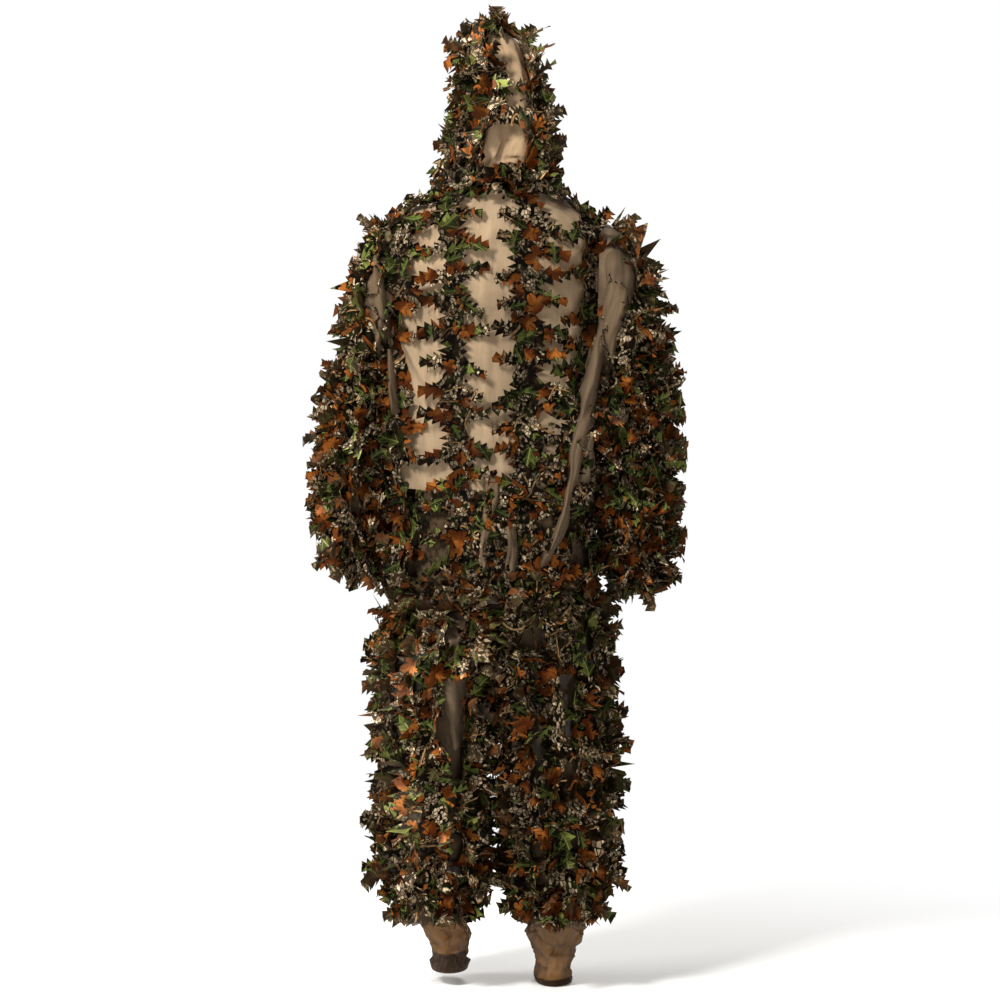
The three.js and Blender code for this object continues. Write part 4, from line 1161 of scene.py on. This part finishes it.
# over the shoulders, down the sides, between the long strips at the waist, and along the hem
LOOSE = dict(FLAT, pitch=0.046, lift=(8, 45), curl=(-20, 25), yaw=24, twist=30, droop=0.08, loose=True)
OVER_SHOULDER = [
    (1, [(0.092, 1.468), (0.140, 1.446), (0.178, 1.420), (0.196, 1.385)], (0.034, 0.050)),
    (-1, [(0.100, 1.455), (0.150, 1.425), (0.186, 1.385)], (0.036, 0.054)),
    (-1, [(0.118, 1.440), (0.124, 1.36), (0.122, 1.25)], (0.036, 0.054)),
]
for word, side in SIDES.items():
    for sense, points, length in OVER_SHOULDER:
        path = path_on(T, [(side * x, z) for x, z in points], sense)
        strip(T, path, one("shoulder_leaves_" + word), length=length, trunk=0.022, **LOOSE)
    u = 0.0 if side > 0 else 0.5
    strip(T, [(u, 0.36), (u + 0.004, 0.70), (u, 0.975)], one("side_leaves_" + word), length=(0.036, 0.055),
          trunk=0.026, **LOOSE)
LOW = [(0.152, 0.930, 1), (0.044, 0.900, 1), (-0.008, 0.930, 1), (-0.160, 0.935, 1), (-0.085, 0.850, 1),
       (0.058, 0.880, -1), (-0.058, 0.880, -1), (0.118, 0.900, -1), (-0.118, 0.900, -1)]
for x, top, sense in LOW:
    owner = one("waist_leaves_back" if sense > 0 else "waist_leaves_front")
    strip(T, path_on(T, [(x, top), (x * 1.03, 0.84), (x, HEM)], sense), owner, length=(0.034, 0.052),
          trunk=0.022, **LOOSE)
for a, b, name in ((0.02, 0.48, "waist_leaves_back"), (0.52, 0.735, "waist_leaves_front"),
                   (0.765, 0.98, "waist_leaves_front")):
    for v in (0.955, 0.985):
        strip(T, [(a, v), ((a + b) / 2, v), (b, v)], one(name), length=(0.040, 0.062), trunk=0.018, **LOOSE)

H = sheets["hood"]
HOOD_STRIPS = [(0.05, 0.03, 0.80), (0.155, 0.01, 0.88), (0.27, 0.0, 0.94), (0.385, 0.0, 0.99),
               (0.600, 0.0, 0.99), (0.71, 0.0, 0.95), (0.845, 0.01, 0.88), (0.95, 0.03, 0.80)]
HOOD_LOOSE = dict(pitch=0.040, width=0.0165, trunk=0.022, lift=(10, 60), curl=(-20, 30), yaw=24, twist=35,
                  droop=0.06, gap=0.004, faded=1.15)
for k, (s, low, high) in enumerate(HOOD_STRIPS):
    length = ((0.056, 0.074), (0.034, 0.054)) if k == 4 else (0.034, 0.054)
    strip(H, [(s, high), (s, (low + high) / 2), (s, low)], one(f"hood_leaves_{k + 1}"), length=length,
          **HOOD_LOOSE)
for s, name, sense, length in ((0.590, "hood_leaves_5", 1, (0.074, 0.094)),
                               (0.405, "hood_leaves_4", -1, (0.040, 0.056))):
    strip(H, [(s, 0.95), (s, 0.50), (s, 0.08)], one(name), pitch=0.056, length=length, width=0.0165,
          trunk=0.012, lift=(8, 20), curl=(-8, 10), yaw=9, twist=14, droop=0.03, sides=(sense,), gap=0.010)
# across the nape and the crown, where the bare stretch at the back of the hood ends
for path, length in (([(0.30, 0.035), (0.49, 0.045), (0.70, 0.035)], (0.034, 0.050)),
                     ([(0.40, 0.90), (0.50, 0.87), (0.60, 0.90)], (0.030, 0.046)),
                     ([(0.30, 0.97), (0.50, 0.975), (0.70, 0.97)], (0.034, 0.050))):
    strip(H, path, one("hood_leaves_4"), length=length, **HOOD_LOOSE)

LIMB = dict(length=(0.038, 0.062), width=0.0178, trunk=0.023, lift=(15, 78), curl=(-25, 35), yaw=28, twist=40,
            droop=0.10, ruffle=0.011)
# the right leg's lobes are darker and never faded: painted shade on the side away from the key light
LEG_FADE_AND_SHADE = {"left": dict(LIMB, faded=0.95), "right": dict(LIMB, faded=0.72)}
for word in SIDES:
    S, G = sheets[word + "_sleeve"], sheets[word + "_leg"]

    def arm(z, x, word=word):
        return bag(word + ("_shoulder_leaves" if z > SLEEVE_SEAM else "_elbow_leaves"))

    def limb(z, x, word=word):
        return bag(word + ("_hip_leaves" if z > LEG_SEAM else "_knee_leaves"))

    for deg in (-115, -80, -48, -18, 12, 42, 72, 102, 130):
        u = deg / 360
        strip(S, [(u, 0.07), (u + 0.01, 0.5), (u - 0.01, 0.965)], arm, pitch=0.041, **LIMB)
    strip(S, [(-0.34, 0.968), (0.02, 0.968), (0.38, 0.968)], arm, pitch=0.034,
          **dict(LIMB, length=(0.030, 0.046), lift=(5, 50)))
    for deg in (-150, -120, -90, -60, -30, 0, 30, 60, 90, 120, 150):
        u = deg / 360
        aside = {90: -0.018, 120: 0.028}.get(deg, 0.0) if word == "left" else 0.0
        start = 0.015 if abs(deg) < 140 else 0.10
        strip(G, [(u + aside, start), (u + aside, 0.38), (u + 0.01, 0.55), (u - 0.01, 0.985)], limb,
              pitch=0.045, **LEG_FADE_AND_SHADE[word])
    for v, low, high in ((0.030, -128, 128), (0.075, -140, 140)):
        strip(G, [(low / 360, v), ((low + high) / 720, v), (high / 360, v)], limb, pitch=0.046,
              **LEG_FADE_AND_SHADE[word])

LEAF_BODIES = {}
for k in range(4):
    LEAF_BODIES[f"back_leaves_{k + 1}"] = (("jacket",), (f"back_leaf_strip_{k + 1}",))
    LEAF_BODIES[f"front_leaves_{k + 1}"] = (("jacket",), (f"front_leaf_strip_{k + 1}",))
for name in ("waist_leaves_back", "waist_leaves_front", "shoulder_leaves_left", "shoulder_leaves_right",
             "side_leaves_left", "side_leaves_right"):
    LEAF_BODIES[name] = (("jacket",), ())
for k in range(8):
    LEAF_BODIES[f"hood_leaves_{k + 1}"] = (HOOD_BEND, (f"hood_leaf_strip_{k + 1}",) if k < 3 else ())
for word in SIDES:
    for joint, bend, node in (("shoulder", shoulder_bend, "upper_sleeve"),
                              ("elbow", elbow_bend, "forearm_sleeve"),
                              ("hip", hip_bend, "thigh"), ("knee", knee_bend, "shin")):
        LEAF_BODIES[f"{word}_{joint}_leaves"] = (bend(word), (f"{word}_{node}_leaves",))
for name, (bodies, nodes) in LEAF_BODIES.items():
    attach(leaf_sets[name].build(name, LEAF), bodies, nodes)


# ---------------------------------------------------------------- bands, cords and the zip
def band(name, points, z, height, thick, waves, count, body, node):
    """An elastic band at the height z that follows a ring of points."""
    ring_points = np.asarray(points).copy()
    ring_points[:, 2] = z
    n = len(ring_points)
    centre = ring_points.mean(0)
    out = unit((ring_points - centre) * np.array([1, 1, 0]))
    profile = [(-0.5, -0.5), (0.5, -0.5), (0.5, 0), (0.5, 0.5), (-0.5, 0.5), (-0.5, 0)]
    ruffle = waves * np.sin(np.arange(n) / n * TAU * count + 2 * noise(ring_points, 0.03))
    P = np.stack([ring_points + out * (a * thick + ruffle * (1 + b))[:, None] + np.array([0, 0, b * height])
                  for a, b in profile], 0)
    quads = grid_faces(len(profile) + 1, n, True, True) % (len(profile) * n)
    run = np.arange(n) / n * np.linalg.norm(np.roll(ring_points, -1, 0) - ring_points, axis=1).sum()
    uv = np.stack([np.tile(run, len(profile)), np.repeat(np.arange(len(profile)) * 0.004, n)], -1)
    attach(mesh_object(name, P, quads, ELASTIC, uv), (body,), (node,))


def tube(name, points, radius, material, bodies, node, sides=8):
    """A cord or a rolled tape through points."""
    p = np.asarray(points, float)
    t = np.linspace(0, len(p) - 1, (len(p) - 1) * 14 + 1)
    q = np.moveaxis(curve([(i, *row) for i, row in enumerate(p)], t), 0, -1)
    d = unit(np.gradient(q, axis=0))
    ref = unit(np.cross(d, np.array([0.3, 0.2, 1.0])))
    other = np.cross(d, ref)
    ang = np.arange(sides) / sides * TAU
    ringp = np.cos(ang)[None, :, None] * ref[:, None] + np.sin(ang)[None, :, None] * other[:, None]
    run = distances(q)
    bulge = 1 + 0.08 * np.sin(run[:, None] * 1800 + ang[None] * 2)
    P = q[:, None] + ringp * (radius * bulge)[..., None]
    uv = np.stack([run[:, None] + 0 * ang[None], ang[None] * radius + 0 * run[:, None]], -1)
    obj = mesh_object(name, P, grid_faces(len(q), sides, True, False), material, uv)
    attach(obj, bodies, (node,))


band("jacket_hem", T.P[-1], 0.727, 0.016, 0.004, 0.0012, 60, "jacket", "jacket_hem_elastic")
band("waistband", sheets["seat"].P[0], 0.905, 0.038, 0.004, 0.0012, 50, "trousers", "waistband_elastic")
for word in SIDES:
    cuff, ankle = sheets[word + "_sleeve"].P[-1], sheets[word + "_leg"].P[-1]
    band(word + "_cuff", cuff, cuff[:, 2].mean() - 0.004, 0.016, 0.0035, 0.001, 30, word + "_forearm",
         word + "_cuff_elastic")
    band(word + "_ankle", ankle, 0.134, 0.014, 0.0035, 0.001, 36, word + "_shin", word + "_ankle_elastic")

edge_left = [H.at(0.0, v) for v in np.linspace(0.34, 0.90, 9)]
edge_right = [H.at(1.0, v) for v in np.linspace(0.90, 0.34, 9)]
face = edge_left + edge_right
CORD_RADIUS = 0.0016
tube("hood_binding", face, 0.0042, BINDING, HOOD_BEND, "hood_face_binding", 10)
outer = [p + np.array([0, -0.008, 0.0]) for p in face]
tube("hood_cord", outer, CORD_RADIUS, CORD, HOOD_BEND, "hood_drawcord")
for word, s, start in (("left", 1, outer[0]), ("right", -1, outer[-1])):
    hanging = [(0.064, -0.112, 1.530), (0.054, -0.146, 1.480), (0.050, -0.155, 1.430),
               (0.050, -0.155, 1.366)]
    tail = [tuple(start)] + [(s * x, y, z) for x, y, z in hanging]
    tube(word + "_hood_cord_tail", tail, CORD_RADIUS, CORD, HOOD_BEND, "hood_cord_tail_" + word)
loop = [(-0.020, 0.094, 1.450), (-0.019, 0.104, 1.463), (-0.010, 0.104, 1.474)]
loop += [(-x, y, z) for x, y, z in reversed(loop)]
tube("hanger", loop, 0.0022, BINDING, ("jacket",), "hang_loop")
waist_cord = [(0.02, -0.104, 0.905), (0, -0.112, 0.905), (0, -0.119, 0.899), (0, -0.121, 0.880),
              (0, -0.121, 0.812)]
tube("waist_cord", waist_cord, CORD_RADIUS, CORD, ("trousers",), "waist_drawcord")


def zip_teeth():
    """Two rows of teeth, in turn a little to the left and to the right."""
    verts, quads = [], []
    cube = np.array([(x, y, z) for x in (-0.5, 0.5) for y in (-0.5, 0.5) for z in (-0.5, 0.5)])
    sides = np.array([(0, 1, 3, 2), (4, 6, 7, 5), (0, 4, 5, 1), (2, 3, 7, 6), (0, 2, 6, 4), (1, 5, 7, 3)])
    for k in range(int((ZIP_HIGH - ZIP_LOW) / TOOTH_PITCH)):
        place = np.array([0.0009 if k % 2 else -0.0009, -0.1326, ZIP_LOW + k * TOOTH_PITCH])
        verts.append(cube * np.array([0.0042, 0.0024, 0.0011]) + place)
        quads.append(sides + 8 * k)
    return np.concatenate(verts), np.concatenate(quads)


v, f = zip_teeth()
attach(mesh_object("zip_teeth", v, f, ZIP, v[:, [0, 2]]), ("jacket",), ("zip_chain",))
for word, side in SIDES.items():
    x, z = np.meshgrid([0.0034, 0.008, 0.014, 0.0215], np.linspace(0.738, 1.354, 160))
    wave = 0.0006 * np.sin(z * 160) * x / 0.02
    P = np.stack([side * x, -0.1322 + wave, z], -1)
    quads = grid_faces(*x.shape, False, side > 0)
    tape = mesh_object("zip_tape_" + word + "_cloth", P, quads, BINDING, P[..., [0, 2]])
    attach(tape, ("jacket",), ("zip_tape_" + word,))

# the CAD nodes that stay: the locks, the slider and the pull
for name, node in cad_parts.items():
    if not node.hide_render:
        node.data.materials.clear()
        node.data.materials.append(ZIP if name.startswith("zip") else LOCK)
        bevel = node.modifiers.new("edge", "BEVEL")
        bevel.width = 0.0006
        bevel.segments = 2
        bevel.limit_method = "ANGLE"

# ---------------------------------------------------------------- floor, light and camera
bpy.ops.mesh.primitive_plane_add(size=60, location=(0, 0, -0.001))
floor = bpy.context.object
floor.name = "floor"
pale = Nodes("pale_floor")
where = pale.node("ShaderNodeTexCoord").outputs["Object"]
grain = pale.noise(where, 3.0, 2)
near = pale.principled(pale.mix(grain, (0.95, 0.95, 0.945), (0.92, 0.92, 0.915)), 0.9, specular=0.05)
far = pale.node("ShaderNodeEmission").outputs[0]
distant = pale.ramp(pale.vec("LENGTH", where), 0.5, 1.6)
floor.data.materials.append(pale.surface(pale.blend(distant, near, far)))

# the camera sees white, and the suit is lit by a weaker light from all round
world = bpy.data.worlds.new("studio")
bpy.context.scene.world = world
world.use_nodes = True
sky = world.node_tree
sky.nodes.clear()
seen, lit = sky.nodes.new("ShaderNodeBackground"), sky.nodes.new("ShaderNodeBackground")
for background, strength in ((seen, 1.0), (lit, 0.22)):
    background.inputs[0].default_value = (1, 1, 1, 1)
    background.inputs[1].default_value = strength
choose, path = sky.nodes.new("ShaderNodeMixShader"), sky.nodes.new("ShaderNodeLightPath")
out = sky.nodes.new("ShaderNodeOutputWorld")
sky.links.new(path.outputs["Is Camera Ray"], choose.inputs[0])
sky.links.new(lit.outputs[0], choose.inputs[1])
sky.links.new(seen.outputs[0], choose.inputs[2])
sky.links.new(choose.outputs[0], out.inputs[0])


def aim(name, data, place, target):
    """A lamp or camera at a place, turned towards a target."""
    obj = bpy.data.objects.new(name, data)
    obj.location = place
    obj.rotation_euler = (Vector(target) - Vector(place)).to_track_quat("-Z", "Y").to_euler()
    bpy.context.scene.collection.objects.link(obj)
    return obj


def lamp(name, place, target, size, power):
    light = bpy.data.lights.new(name, "AREA")
    light.energy = power
    light.size = size
    light.color = (1, 0.98, 0.95)
    aim(name, light, place, target)


lamp("key", (2.3, 2.7, 3.6), (0, 0, 1.3), 1.0, 285)
lamp("fill", (-2.6, 2.4, 2.4), (0, 0, 1.2), 2.0, 18)
lamp("rim", (3.2, 0.4, 1.5), (0.2, 0, 0.9), 1.4, 85)
lamp("front", (-0.8, -3.0, 3.6), (0, 0, 1.2), 1.8, 120)

VIEW_DISTANCE = 5.2
HALF_VIEW = 0.93        # half the height and width the camera sees at that distance
camera_data = bpy.data.cameras.new("camera")
camera_data.sensor_width = 36
camera_data.lens = 36 / (2 * HALF_VIEW / VIEW_DISTANCE)
camera_data.clip_end = 100
bpy.context.scene.camera = aim("camera", camera_data, (-0.009, VIEW_DISTANCE, 1.02), (-0.009, 0, 0.905))
bpy.context.scene.view_settings.view_transform = "Standard"
